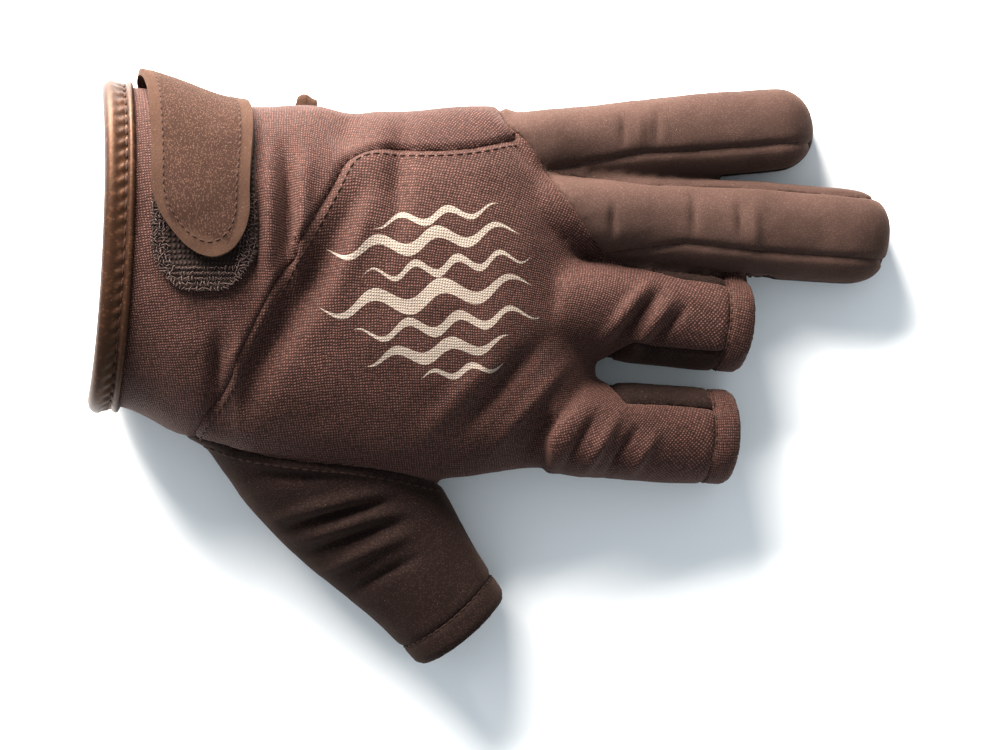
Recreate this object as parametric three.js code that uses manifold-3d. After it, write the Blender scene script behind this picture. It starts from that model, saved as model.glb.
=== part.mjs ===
// A left-hand fishing glove, lying palm down and filled out as a hand fills it.
// The little and ring fingers are closed. The middle finger, index finger and thumb are cut short and hemmed.
// The cloth is cut along its seams into panels, each a wall of its own, round one open hollow for the hand.
// Millimetres. +X runs from the wrist to the fingertips, +Y to the little finger, +Z up out of the back of the hand.
// The origin is on the surface that the palm lies on, under the middle of the palm.
import * as THREE from "three";
import { mergeVertices } from "three/addons/utils/BufferGeometryUtils.js";
import Module from "manifold-3d";

const wasm = await Module();
wasm.setup();

// The cloth and how it is joined.
const CLOTH = 1.8; // wall of the padded knit
const HEM_WALL = 2.6; // wall of a turned hem, two layers pressed together
const HEM_PROUD = 0.35; // how far a hem stands out of the finger that it ends
const HEM_WIDTH = 6.2; // from the mouth of a cut finger to its line of stitches
const SEAM_GAP = 0.3; // clear gap between two panels that are sewn together
const SIDE_SEAM_HEIGHT = 8; // height of the seam between the palm and the back, all the way round
const FORK_RUN = 6.8; // from a fork along a finger to where its seam runs beside the finger's edge
const SEAM_PAST = 3.4; // how far the line of a finger's seam runs on past its end
const PRESS = 1.6; // how far the underside is pressed flat by the surface

// The hand, without its fingers.
const HAND_LENGTH = 126.5; // from the edge of the cuff to the forks of the fingers
const HAND_WIDTH = 90; // across the knuckles
const HAND_HEIGHT = 45; // from the surface to the back of the wrist
const FORK_BOW = 7; // how far the line of the forks bows out between the first and the last
const FOLD_RISE = 2.6; // height of the strongest fold in the cloth

// The fingers: each has its own length from inside the hand to its tip or mouth, its width and its height.
const LITTLE_LENGTH = 80;
const LITTLE_WIDTH = 20.6;
const LITTLE_HEIGHT = 18.5;
const RING_LENGTH = 88;
const RING_WIDTH = 23.6;
const RING_HEIGHT = 21;
const MIDDLE_LENGTH = 48;
const MIDDLE_WIDTH = 24;
const MIDDLE_HEIGHT = 22.5;
const INDEX_LENGTH = 46.4;
const INDEX_WIDTH = 24;
const INDEX_HEIGHT = 22.5;
const THUMB_LENGTH = 81.5;
const THUMB_WIDTH = 42;
const THUMB_HEIGHT = 30;

// The cuff binding, strap, loop patch and side tab.
const BINDING_WIDTH = 5.4; // how far the binding reaches on to the cuff
const BINDING_WALL = 1.5; // how thick it stands on each side of the cloth
const BINDING_ROLL = 2.1; // how far its rolled edge reaches past the edge of the cloth
const FIT_GAP = 0.3; // clear gap between a trim piece and the cloth that it is sewn to
const STRAP_WIDTH = 30;
const STRAP_THICKNESS = 1.7;
const STRAP_SPRING = 3; // how far the fold of the strap stands off the side of the wrist
const STRAP_SKEW = 3.4; // how far the lower half of the fold lies towards the cuff
const PATCH_WIDTH = 30.2;
const PATCH_LENGTH = 37;
const PATCH_THICKNESS = 1;
const TAB_WIDTH = 6.5;
const TAB_REACH = 5;
const TAB_THICKNESS = 1;

// How finely the forms are faceted.
const FACET_TOLERANCE = 0.1;
const HAND_SIDES = 30;
const HAND_STEPS = 17;
const FINGER_SIDES = 16;
const FINGER_STEPS = 8;
const THUMB_SIDES = 20;
const THUMB_STEPS = 10;

// Sections of the hand, from the cuff to the forks. along is a share of HAND_LENGTH; thumbSide and outerSide are
// shares of HAND_WIDTH from the middle line; height is a share of HAND_HEIGHT; lean is how far the top of the
// section is set towards the fingers and lag how far its outer side is set back, as shares of HAND_LENGTH;
// bow is a share of FORK_BOW.
const HAND_SECTIONS = [
  { along: 0.0, thumbSide: -0.375, outerSide: 0.474, height: 0.97, lean: 0.075, lag: -0.027, bow: 0.0 },
  { along: 0.05, thumbSide: -0.38, outerSide: 0.472, height: 0.97, lean: 0.075, lag: -0.027, bow: 0.0 },
  { along: 0.1, thumbSide: -0.408, outerSide: 0.466, height: 0.97, lean: 0.073, lag: -0.022, bow: 0.0 },
  { along: 0.157, thumbSide: -0.455, outerSide: 0.452, height: 0.97, lean: 0.068, lag: -0.012, bow: 0.0 },
  { along: 0.255, thumbSide: -0.505, outerSide: 0.427, height: 0.95, lean: 0.05, lag: 0.0, bow: 0.0 },
  { along: 0.408, thumbSide: -0.56, outerSide: 0.43, height: 0.9, lean: 0.022, lag: 0.0, bow: 0.0 },
  { along: 0.559, thumbSide: -0.578, outerSide: 0.42, height: 0.86, lean: 0.006, lag: 0.03, bow: 0.05 },
  { along: 0.706, thumbSide: -0.575, outerSide: 0.42, height: 0.81, lean: 0.0, lag: 0.07, bow: 0.25 },
  { along: 0.824, thumbSide: -0.55, outerSide: 0.434, height: 0.75, lean: 0.0, lag: 0.1, bow: 0.6 },
  { along: 0.902, thumbSide: -0.545, outerSide: 0.442, height: 0.64, lean: 0.0, lag: 0.12, bow: 0.85 },
  { along: 0.951, thumbSide: -0.53, outerSide: 0.432, height: 0.48, lean: 0.0, lag: 0.13, bow: 1.0 },
  { along: 0.971, thumbSide: -0.5, outerSide: 0.405, height: 0.34, lean: 0.0, lag: 0.13, bow: 1.0 },
];

// Sections of a finger. along is a share of its length, width and height are shares of its own sizes.
const CLOSED_FINGER = [
  { along: 0.0, width: 0.84, height: 1.3 },
  { along: 0.14, width: 0.86, height: 1.24 },
  { along: 0.28, width: 0.9, height: 1.1 },
  { along: 0.42, width: 0.95, height: 1.02 },
  { along: 0.6, width: 1.0, height: 0.98 },
  { along: 0.8, width: 1.0, height: 0.94 },
  { along: 1.0, width: 0.97, height: 0.88 },
];
const OPEN_FINGER = [
  { along: 0.0, width: 0.6, height: 0.8 },
  { along: 0.12, width: 0.84, height: 1.12 },
  { along: 0.24, width: 0.95, height: 1.22 },
  { along: 0.38, width: 0.98, height: 1.16 },
  { along: 0.6, width: 1.0, height: 1.06 },
  { along: 1.0, width: 0.95, height: 0.97 },
];
const THUMB_SECTIONS = [
  { along: 0.0, width: 0.95, height: 1.0 },
  { along: 0.25, width: 1.02, height: 0.96 },
  { along: 0.45, width: 0.98, height: 0.87 },
  { along: 0.62, width: 0.86, height: 0.8 },
  { along: 0.8, width: 0.71, height: 0.78 },
  { along: 1.0, width: 0.63, height: 0.77 },
];

// Neighbouring fingers keep clear of each other: the middle and index fingers and the forks beside them are set off
// from the ring finger by shares of the fingers' widths. All are shares of HAND_WIDTH from the middle line.
const halfWidths = (...widths) => widths.reduce((sum, width) => sum + width) / 2 / HAND_WIDTH;
const RING_ACROSS = 0.149;
const RING_FORK_ACROSS = RING_ACROSS - 0.938 * halfWidths(RING_WIDTH);
const MIDDLE_ACROSS = RING_ACROSS - 0.97185 * halfWidths(RING_WIDTH, MIDDLE_WIDTH);
const MIDDLE_FORK_ACROSS = MIDDLE_ACROSS - 1.23 * halfWidths(MIDDLE_WIDTH);
const INDEX_ACROSS = MIDDLE_ACROSS - 1.2375 * halfWidths(MIDDLE_WIDTH, INDEX_WIDTH);

// Where each finger starts inside the hand, as shares of HAND_LENGTH and HAND_WIDTH from the cuff and the middle
// line, and where it points, in degrees from +X towards +Y. blunt is how square a closed tip is.
const FINGERS = {
  little: {
    rootAlong: 0.786, rootAcross: 0.322, heading: 4.7, blunt: 2.6,
    length: LITTLE_LENGTH, width: LITTLE_WIDTH, height: LITTLE_HEIGHT, sections: CLOSED_FINGER,
  },
  ring: {
    rootAlong: 0.866, rootAcross: RING_ACROSS, heading: -4.1, blunt: 3.6,
    length: RING_LENGTH, width: RING_WIDTH, height: RING_HEIGHT, sections: CLOSED_FINGER,
  },
  middle: {
    rootAlong: 0.905, rootAcross: MIDDLE_ACROSS, heading: -6,
    length: MIDDLE_LENGTH, width: MIDDLE_WIDTH, height: MIDDLE_HEIGHT, sections: OPEN_FINGER,
  },
  index: {
    rootAlong: 0.889, rootAcross: INDEX_ACROSS, heading: -3.6,
    length: INDEX_LENGTH, width: INDEX_WIDTH, height: INDEX_HEIGHT, sections: OPEN_FINGER,
  },
  thumb: {
    rootAlong: 0.322, rootAcross: -0.306, heading: -51.3,
    length: THUMB_LENGTH, width: THUMB_WIDTH, height: THUMB_HEIGHT, sections: THUMB_SECTIONS,
  },
};
const MOUTH_BULGE = 0.072; // how far the middle of a mouth reaches past its sides, as a share of the finger's width

// Seams of the back, seen from above, in shares of HAND_LENGTH from the cuff and of HAND_WIDTH from the middle line.
const WRIST_SEAM = [
  { along: 0.212, across: -0.46 },
  { along: 0.292, across: -0.316 },
  { along: 0.36, across: -0.122 },
  { along: 0.422, across: 0.031 },
  { along: 0.482, across: 0.189 },
  { along: 0.512, across: 0.273 },
  { along: 0.556, across: 0.303 },
  { along: 0.646, across: 0.3 },
  { along: 0.738, across: 0.308 },
  { along: 0.824, across: 0.34 },
];
const KNUCKLE_SEAM = [
  { along: 0.784, across: 0.6 },
  { along: 0.794, across: 0.434 },
  { along: 0.832, across: 0.348 },
  { along: 0.884, across: 0.258 },
  { along: 0.945, across: 0.12 },
  { along: 0.99, across: RING_FORK_ACROSS },
];
const THUMB_SEAM = [
  { along: 0.098, across: -0.45 },
  { along: 0.212, across: -0.468 },
  { along: 0.299, across: -0.503 },
  { along: 0.417, across: -0.528 },
  { along: 0.512, across: -0.542 },
  { along: 0.604, across: -0.566 },
  { along: 0.686, across: -0.6 },
];
// The forks between neighbouring fingers, where the side strips turn from one finger to the next.
const FORKS = [
  {
    above: "little", below: "ring", along: 0.884, across: 0.258, aboveInset: 0.27, belowInset: 0.11,
    strips: ["little_ring_strip"],
  },
  {
    above: "ring", below: "middle", along: 0.99, across: RING_FORK_ACROSS, aboveInset: 0.24, belowInset: 0.11,
    strips: ["ring_lower_strip", "middle_upper_strip"],
  },
  {
    above: "middle", below: "index", along: 0.985, across: MIDDLE_FORK_ACROSS, aboveInset: 0.17, belowInset: 0.18,
    strips: ["middle_lower_strip", "index_upper_strip"],
  },
];

// Folds and dents of the back. Places are shares of HAND_LENGTH and HAND_WIDTH, length and width shares of
// HAND_WIDTH, rise a share of FOLD_RISE; heading is in degrees from +X towards +Y.
const FOLDS = [
  { along: 0.382, across: 0.02, heading: 62, length: 0.95, width: 0.13, rise: 0.75 },
  { along: 0.441, across: -0.02, heading: 60, length: 0.95, width: 0.14, rise: -0.8 },
  { along: 0.265, across: -0.1, heading: 78, length: 0.5, width: 0.12, rise: 0.5 },
  { along: 0.53, across: 0.4, heading: 75, length: 0.34, width: 0.16, rise: -1.0 },
  { along: 0.49, across: 0.42, heading: 90, length: 0.26, width: 0.16, rise: 0.5 },
  { along: 0.667, across: 0.4, heading: 90, length: 0.26, width: 0.2, rise: 0.45 },
  { along: 0.843, across: -0.3, heading: 48, length: 0.55, width: 0.15, rise: -0.45 },
  { along: 0.931, across: -0.22, heading: 50, length: 0.5, width: 0.14, rise: 0.4 },
  { along: 0.353, across: -0.66, heading: 12, length: 0.36, width: 0.13, rise: 0.7 },
  { along: 0.441, across: -0.8, heading: 22, length: 0.34, width: 0.12, rise: -0.55 },
  { along: 0.51, across: -0.88, heading: 30, length: 0.32, width: 0.12, rise: 0.55 },
];

// Outline of the strap from where it is sewn down to its tip. reach is a share of its run round the wrist,
// cuffEdge and handEdge are shares of STRAP_WIDTH from its cuff side.
const STRAP_OUTLINE = [
  { reach: 0.0, cuffEdge: 0.0, handEdge: 1.0 },
  { reach: 0.3, cuffEdge: 0.0, handEdge: 1.0 },
  { reach: 0.583, cuffEdge: 0.01, handEdge: 1.0 },
  { reach: 0.696, cuffEdge: 0.0, handEdge: 0.985 },
  { reach: 0.809, cuffEdge: 0.0, handEdge: 0.953 },
  { reach: 0.886, cuffEdge: 0.03, handEdge: 0.88 },
  { reach: 0.945, cuffEdge: 0.13, handEdge: 0.79 },
  { reach: 0.985, cuffEdge: 0.28, handEdge: 0.66 },
  { reach: 1.0, cuffEdge: 0.42, handEdge: 0.54 },
];
const STRAP_ALONG = 0.0775; // the cuff side of the strap, as a share of HAND_LENGTH
const STRAP_FROM = -24; // where the strap is sewn to the side of the wrist, in degrees round its section
const STRAP_TO = 88; // where its tip lies on the back of the wrist
const STRAP_STEPS = 18;
const PATCH_FROM = 0.33; // the outer end of the loop patch, as a share of HAND_WIDTH from the middle line
const TAB_ALONG = 0.407; // the middle of the side tab, as a share of HAND_LENGTH

const FAR = 2 * HAND_LENGTH; // past everything, for the blocks that part the panels
const HIGH = 2 * HAND_HEIGHT;

const radians = THREE.MathUtils.degToRad;
const alongX = (along) => (along - 0.5) * HAND_LENGTH;
const acrossY = (across) => across * HAND_WIDTH;
const planPoint = (row) => new THREE.Vector2(alongX(row.along), acrossY(row.across));

// Reads a table between its rows: a smooth function of the first column that gives the other columns by name.
function smoothTable(rows) {
  const [place, ...names] = Object.keys(rows[0]);
  const values = rows.flatMap((row) => names.map((name) => row[name]));
  const curve = new THREE.CubicInterpolant(rows.map((row) => row[place]), values, names.length);
  return (at) => {
    const read = curve.evaluate(at);
    return Object.fromEntries(names.map((name, i) => [name, read[i]]));
  };
}

// How far the folds lift the cloth at a place seen from above.
function foldRise(x, y) {
  let rise = 0;
  for (const fold of FOLDS) {
    const heading = radians(fold.heading);
    const dx = x - alongX(fold.along);
    const dy = y - acrossY(fold.across);
    const run = (dx * Math.cos(heading) + dy * Math.sin(heading)) / (fold.length * HAND_WIDTH / 2);
    const side = (dy * Math.cos(heading) - dx * Math.sin(heading)) / (fold.width * HAND_WIDTH / 2);
    if (Math.abs(run) < 1) rise += fold.rise * FOLD_RISE * (1 - run * run) ** 2 * Math.exp(-2 * side * side);
  }
  return rise;
}

const signedPower = (value, power) => Math.sign(value) * Math.abs(value) ** power;

// One point of a section that is round above and pressed flat below. half is its half width, height its height
// over base, angle runs from its +side over the top. inset shrinks it all round, as the inside of a wall.
function sectionPoint(half, height, base, angle, inset) {
  const roundness = 2 / 2.3;
  const flatness = 2 / 3;
  const middle = base + height * 0.46;
  const side = (half - inset) * signedPower(Math.cos(angle), roundness);
  const rise = Math.sin(angle);
  const up = rise > 0
    ? middle + (base + height - middle - inset) * Math.abs(rise) ** roundness
    : middle - (middle - base + PRESS - inset) * Math.abs(rise) ** flatness;
  return { side, up: Math.max(up, base + inset) };
}

// Direction out of a section at an angle, as a unit vector in its plane.
function sectionNormal(half, height, base, angle) {
  const step = 0.02;
  const before = sectionPoint(half, height, base, angle - step, 0);
  const after = sectionPoint(half, height, base, angle + step, 0);
  const normal = new THREE.Vector2(after.up - before.up, before.side - after.side);
  return normal.lengthSq() > 0 ? normal.normalize() : new THREE.Vector2(0, -1);
}

// The cuff is lifted by the thickness of its binding, which then lies on the surface with the palm.
const cuffLift = BINDING_WALL + FIT_GAP;
function handBase(along) {
  const held = BINDING_WIDTH / HAND_LENGTH;
  return cuffLift * (1 - THREE.MathUtils.smoothstep(along, held, 3 * held));
}

const handTable = smoothTable(HAND_SECTIONS);

// A point of the hand's form: along its length, at an angle round its section, and so far out of the cloth.
function handPoint(along, angle, out) {
  const section = handTable(along);
  const base = handBase(along);
  const top = HAND_HEIGHT * section.height - base;
  const low = acrossY(section.thumbSide);
  const high = acrossY(section.outerSide);
  const half = (high - low) / 2;
  const at = sectionPoint(half, top, base, angle, 0);
  const normal = sectionNormal(half, top, base, angle);
  const share = at.side / half;
  const shift = (section.lean * (at.up / HAND_HEIGHT) ** 2 - section.lag * (share + 1) / 2) * HAND_LENGTH
    + FORK_BOW * section.bow * (1 - share * share);
  const x = alongX(along) + shift;
  const y = (low + high) / 2 + at.side;
  const upper = THREE.MathUtils.smoothstep(at.up / HAND_HEIGHT, 0.18, 0.5);
  const trim = THREE.MathUtils.smoothstep(along, 0.07, 0.16);
  const lift = foldRise(x, y) * upper * trim;
  const inner = sectionPoint(half, top, base, angle, Math.max(-out, 0));
  const extra = Math.max(out, 0) + lift;
  return new THREE.Vector3(
    x,
    (low + high) / 2 + inner.side + normal.x * extra,
    Math.max(inner.up + normal.y * extra, base - out),
  );
}

// A point of a finger: along its length, at an angle round its section, so far out of the cloth.
function fingerPoint(finger, along, angle, out) {
  const section = finger.table(Math.min(Math.max(along, 0), 1));
  let half = (finger.width * section.width) / 2;
  let height = finger.height * section.height;
  const tip = finger.blunt ? half / finger.length : 0;
  if (tip && along > 1 - tip) {
    const past = Math.min((along - 1 + tip) / tip, 1);
    const left = (1 - past ** finger.blunt) ** (1 / finger.blunt);
    half *= Math.max(left, 0.2);
    height *= 0.35 + 0.65 * left;
  }
  const at = sectionPoint(half, height, 0, angle, 0);
  const normal = sectionNormal(half, height, 0, angle);
  const inner = sectionPoint(half, height, 0, angle, Math.max(-out, 0));
  const place = finger.root.clone().addScaledVector(finger.axis, along * finger.length);
  const outer = place.clone().addScaledVector(finger.across, at.side);
  const extra = Math.max(out, 0) + foldRise(outer.x, outer.y) * THREE.MathUtils.smoothstep(at.up / height, 0.3, 0.8);
  place.addScaledVector(finger.across, inner.side + normal.x * extra);
  return new THREE.Vector3(place.x, place.y, Math.max(inner.up + normal.y * extra, Math.max(-out, 0)));
}

for (const finger of Object.values(FINGERS)) {
  const heading = radians(finger.heading);
  finger.root = new THREE.Vector2(alongX(finger.rootAlong), acrossY(finger.rootAcross));
  finger.axis = new THREE.Vector2(Math.cos(heading), Math.sin(heading));
  finger.across = new THREE.Vector2(-Math.sin(heading), Math.cos(heading));
  finger.table = smoothTable(finger.sections);
}

// A closed solid from three.js geometry. Its shared vertices are merged first.
function solidOf(geometry) {
  const bare = new THREE.BufferGeometry().setAttribute("position", geometry.getAttribute("position"));
  if (geometry.index) bare.setIndex(geometry.index);
  const merged = mergeVertices(bare, 1e-4);
  const made = new wasm.Manifold(new wasm.Mesh({
    numProp: 3,
    vertProperties: new Float32Array(merged.attributes.position.array),
    triVerts: new Uint32Array(merged.index.array),
  }));
  return made;
}

function geometryOf(solid) {
  const mesh = solid.getMesh();
  const geometry = new THREE.BufferGeometry();
  geometry.setAttribute("position", new THREE.BufferAttribute(new Float32Array(mesh.vertProperties), 3));
  geometry.setIndex([...mesh.triVerts]);
  return geometry;
}

// A closed form through rings of points. A ring runs the way that makes faces point out when the next one is
// further along; closed joins the last ring to the first and leaves the ends off.
function loft(rings, closed = false) {
  const sides = rings[0].length;
  const positions = rings.flat().flatMap((p) => [p.x, p.y, p.z]);
  const index = [];
  const steps = closed ? rings.length : rings.length - 1;
  for (let i = 0; i < steps; i++) {
    for (let j = 0; j < sides; j++) {
      const a = i * sides + j;
      const b = i * sides + (j + 1) % sides;
      const c = ((i + 1) % rings.length) * sides + j;
      const d = ((i + 1) % rings.length) * sides + (j + 1) % sides;
      index.push(a, b, d, a, d, c);
    }
  }
  if (!closed) {
    for (const end of [0, rings.length - 1]) {
      const ring = rings[end];
      const middle = ring.reduce((sum, p) => sum.add(p), new THREE.Vector3()).divideScalar(sides);
      const centre = positions.length / 3;
      positions.push(middle.x, middle.y, middle.z);
      for (let j = 0; j < sides; j++) {
        const a = end * sides + j;
        const b = end * sides + (j + 1) % sides;
        index.push(...(end === 0 ? [centre, b, a] : [centre, a, b]));
      }
    }
  }
  const geometry = new THREE.BufferGeometry();
  geometry.setAttribute("position", new THREE.Float32BufferAttribute(positions, 3));
  geometry.setIndex(index);
  return geometry;
}

const ringAngles = (sides) => Array.from({ length: sides }, (_, j) => (2 * Math.PI * j) / sides);
const stationsFrom = (from, to, steps) => Array.from({ length: steps + 1 }, (_, i) => from + ((to - from) * i) / steps);

// The hand's form, grown by out, or shrunk where out is negative. The inside runs on through the cuff.
function handForm(out) {
  const last = HAND_SECTIONS.at(-1).along + Math.min(out, 0) / HAND_LENGTH;
  const stations = stationsFrom(0, last, HAND_STEPS);
  const rings = stations.map((along) => ringAngles(HAND_SIDES).map((angle) => handPoint(along, angle, out)));
  if (out < 0) {
    const past = new THREE.Vector3(2 * BINDING_WIDTH, 0, 0);
    rings.unshift(rings[0].map((p) => p.clone().sub(past)));
  }
  return solidOf(loft(rings));
}

// A finger's form. The inside of an open finger runs on past its mouth.
function fingerForm(finger, out, sides = FINGER_SIDES, steps = FINGER_STEPS) {
  const tip = finger.blunt ? finger.width / 2 / finger.length : 0;
  const shrink = finger.blunt ? Math.min(out, 0) / finger.length : 0;
  const stations = stationsFrom(0, 1 - tip, steps);
  for (const past of tip ? [0.35, 0.62, 0.82, 0.95, 1] : []) stations.push(1 - tip + tip * past);
  if (!finger.blunt) stations.push(1 + (1.5 * MOUTH_BULGE * finger.width) / finger.length);
  const rings = stations.map((along) => ringAngles(sides).map((angle) => (
    fingerPoint(finger, along, angle, out).add(
      new THREE.Vector3(finger.axis.x, finger.axis.y, 0).multiplyScalar(shrink * finger.length * Math.min(along * 2, 1)),
    )
  )));
  if (!finger.blunt && out < 0) {
    const past = new THREE.Vector3(finger.axis.x, finger.axis.y, 0).multiplyScalar(finger.width);
    rings.push(rings.at(-1).map((p) => p.clone().add(past)));
  }
  return solidOf(loft(rings));
}

const thumbForm = (out) => fingerForm(FINGERS.thumb, out, THUMB_SIDES, THUMB_STEPS);
const fingerNames = ["little", "ring", "middle", "index"];

function wholeForm(out) {
  let form = handForm(out).add(thumbForm(out));
  for (const name of fingerNames) form = form.add(fingerForm(FINGERS[name], out));
  return form;
}

// A block that stands on an outline seen from above.
function block(outline, low = -1, high = HIGH) {
  const shape = new THREE.Shape(outline);
  const geometry = new THREE.ExtrudeGeometry(shape, { depth: high - low, bevelEnabled: false, steps: 1 });
  return solidOf(geometry.translate(0, 0, low));
}

// A smooth line through points, seen from above.
const smoothLine = (points, pieces = 4) => new THREE.SplineCurve(points).getPoints(pieces * (points.length - 1));

// The narrow block that parts two panels along a line.
function parting(line, low = -1) {
  const sides = [1, -1].map((side) => line.map((point, i) => {
    const before = line[Math.max(i - 1, 0)];
    const after = line[Math.min(i + 1, line.length - 1)];
    const run = after.clone().sub(before).normalize();
    return new THREE.Vector2(-run.y, run.x).multiplyScalar((side * SEAM_GAP) / 2).add(point);
  }));
  return block([...sides[1], ...sides[0].reverse()], low);
}

// A point of a finger's plan: so far along it, and so far to its little-finger side.
function fingerPlan(finger, along, side) {
  return finger.root.clone().addScaledVector(finger.axis, along).addScaledVector(finger.across, side);
}

// The seam along one side of a finger, from its fork to past its end. inset is a share of the finger's width.
function fingerSeam(finger, fork, side, inset) {
  const start = planPoint(fork);
  const first = start.clone().sub(finger.root).dot(finger.axis) + FORK_RUN;
  const last = finger.length + SEAM_PAST;
  const line = stationsFrom(first, last, 6).map((along) => {
    const half = finger.table(Math.min(along / finger.length, 1)).width / 2;
    return fingerPlan(finger, along, side * (half - inset) * finger.width);
  });
  return [start, ...line];
}

// The arc across a finger that lies so far back from its mouth, bulging towards the mouth. It ends just outside
// the hem, so that it stays clear of the next finger.
function mouthArc(finger, back) {
  const { width } = finger.table(1 - (1.5 * HEM_WIDTH) / finger.length);
  const reach = (width * finger.width) / 2 + 2 * HEM_PROUD;
  return stationsFrom(-1, 1, 8).map((share) => {
    const bulge = MOUTH_BULGE * finger.width * ((2 * share * reach) / finger.width) ** 2;
    return fingerPlan(finger, finger.length - back - bulge, share * reach);
  });
}

// The outline of what lies past an arc across a finger.
function pastArc(finger, back) {
  const arc = mouthArc(finger, back);
  const out = finger.axis.clone().multiplyScalar(finger.width);
  return [...arc, arc.at(-1).clone().add(out), arc[0].clone().add(out)];
}

const openFingers = ["middle", "index", "thumb"];
const wristLine = smoothLine(WRIST_SEAM.map(planPoint));
const knuckleLine = smoothLine(KNUCKLE_SEAM.map(planPoint));
const thumbLine = smoothLine(THUMB_SEAM.map(planPoint));
const forkLines = FORKS.map((fork) => ({
  strips: fork.strips,
  above: fingerSeam(FINGERS[fork.above], fork, -1, fork.aboveInset),
  below: fingerSeam(FINGERS[fork.below], fork, 1, fork.belowInset),
}));

// The cloth: the whole form less its inside, cut open at the mouths and parted along every seam.
const outside = wholeForm(0);
const inside = wholeForm(-CLOTH);
let cloth = outside.subtract(inside);
for (const name of openFingers) cloth = cloth.subtract(block(pastArc(FINGERS[name], HEM_WIDTH)));
const upperLow = SIDE_SEAM_HEIGHT;
for (const line of [wristLine, knuckleLine]) cloth = cloth.subtract(parting(line, upperLow));
for (const { above, below } of forkLines) {
  cloth = cloth.subtract(parting(above, upperLow)).subtract(parting(below, upperLow));
}

// Of what is left of the cloth, takes the largest bodies inside a block, without stray slivers, in order from the
// little-finger side to the thumb side.
function takeEach(from, shape, count) {
  const bodies = from.intersect(shape).decompose().sort((a, b) => b.volume() - a.volume()).slice(0, count);
  bodies.sort((a, b) => b.boundingBox().max[1] - a.boundingBox().max[1]);
  return bodies.map((body) => body.simplify(FACET_TOLERANCE));
}

const take = (from, shape) => takeEach(from, shape, 1)[0];

const mesh = (name, solid, material) => {
  const made = new THREE.Mesh(solid.isBufferGeometry ? solid : geometryOf(solid), material);
  made.name = name;
  return made;
};

const knit = new THREE.MeshStandardMaterial({ color: 0x2b211f, roughness: 0.92, metalness: 0 });
const fleece = new THREE.MeshStandardMaterial({ color: 0x241d1b, roughness: 0.95, metalness: 0 });
const suede = new THREE.MeshStandardMaterial({ color: 0x4a372f, roughness: 0.96, metalness: 0 });
const loopPile = new THREE.MeshStandardMaterial({ color: 0x1d1716, roughness: 0.9, metalness: 0 });
const leather = new THREE.MeshStandardMaterial({ color: 0x211815, roughness: 0.5, metalness: 0 });

const glove = new THREE.Group();

// The thumb is a sleeve of its own, from its seam on the back to its seam on the palm.
const thumbSide = [
  ...thumbLine,
  new THREE.Vector2(FAR / 2, -FAR / 2),
  new THREE.Vector2(-FAR, -FAR),
  new THREE.Vector2(-FAR, thumbLine[0].y - HAND_WIDTH / 4),
];
const thumbCloth = cloth.subtract(parting(thumbLine));
glove.add(mesh("thumb_sleeve", take(thumbCloth, block(thumbSide)), fleece));
let left = thumbCloth.subtract(block(thumbSide));

// The palm is one panel, up to the side seam all round.
const everywhere = [[-FAR, -FAR], [FAR, -FAR], [FAR, FAR], [-FAR, FAR]].map(([x, y]) => new THREE.Vector2(x, y));
glove.add(mesh("palm_panel", take(left, block(everywhere, -1, SIDE_SEAM_HEIGHT - SEAM_GAP / 2)), fleece));
left = left.subtract(block(everywhere, -1, SIDE_SEAM_HEIGHT + SEAM_GAP / 2));

// The strips between the fingers. The one round the first fork is whole. At the other forks the palm reaches up
// between two strips. Each takes in the side of the longer finger as far as its tip.
for (const { strips, above, below } of forkLines) {
  const [longer, shorter] = above.at(-1).x > below.at(-1).x ? [above, below] : [below, above];
  const pastShorter = new THREE.Vector2(longer.at(-1).x, shorter.at(-1).y);
  const between = block([...above, pastShorter, ...below.slice(1).reverse()]);
  takeEach(left, between, strips.length).forEach((body, i) => glove.add(mesh(strips[i], body, fleece)));
  left = left.subtract(between);
}

// The backs of the two closed fingers, past the knuckle seam.
const littleFork = planPoint(FORKS[0]);
const ringFork = planPoint(FORKS[1]);
const toLittleFork = knuckleLine.filter((point) => point.x <= littleFork.x);
const toRingFork = knuckleLine.filter((point) => point.x > littleFork.x);
const betweenTips = forkLines[0].above.at(-1);
const belowRing = forkLines[1].above.at(-1);
const littleBlock = block([...toLittleFork, littleFork, betweenTips, new THREE.Vector2(FAR, FAR)]);
glove.add(mesh("little_finger_back", take(left, littleBlock), fleece));
left = left.subtract(littleBlock);
const ringBlock = block([littleFork, ...toRingFork, ringFork, belowRing, new THREE.Vector2(FAR, belowRing.y),
  new THREE.Vector2(FAR, FAR), betweenTips]);
glove.add(mesh("ring_finger_back", take(left, ringBlock), fleece));
left = left.subtract(ringBlock);

// The wrist panel, with its strip along the outer side of the hand, and the back of the hand.
const wristBlock = block([...wristLine, knuckleLine[1], new THREE.Vector2(knuckleLine[0].x, FAR),
  new THREE.Vector2(-FAR, FAR), new THREE.Vector2(-FAR, -FAR), new THREE.Vector2(wristLine[0].x, -FAR)]);
glove.add(mesh("wrist_panel", take(left, wristBlock), knit));
glove.add(mesh("back_panel", take(left, block(everywhere).subtract(wristBlock)), knit));

// The turned hems of the three cut fingers.
for (const name of openFingers) {
  const finger = FINGERS[name];
  const [sides, steps] = name === "thumb" ? [THUMB_SIDES, THUMB_STEPS] : [FINGER_SIDES, FINGER_STEPS];
  const wall = fingerForm(finger, HEM_PROUD, sides, steps).subtract(fingerForm(finger, -HEM_WALL, sides, steps));
  const band = block(pastArc(finger, HEM_WIDTH - SEAM_GAP)).subtract(block(pastArc(finger, 0)));
  glove.add(mesh(`${name}_hem`, take(wall, band), fleece));
}

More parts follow.
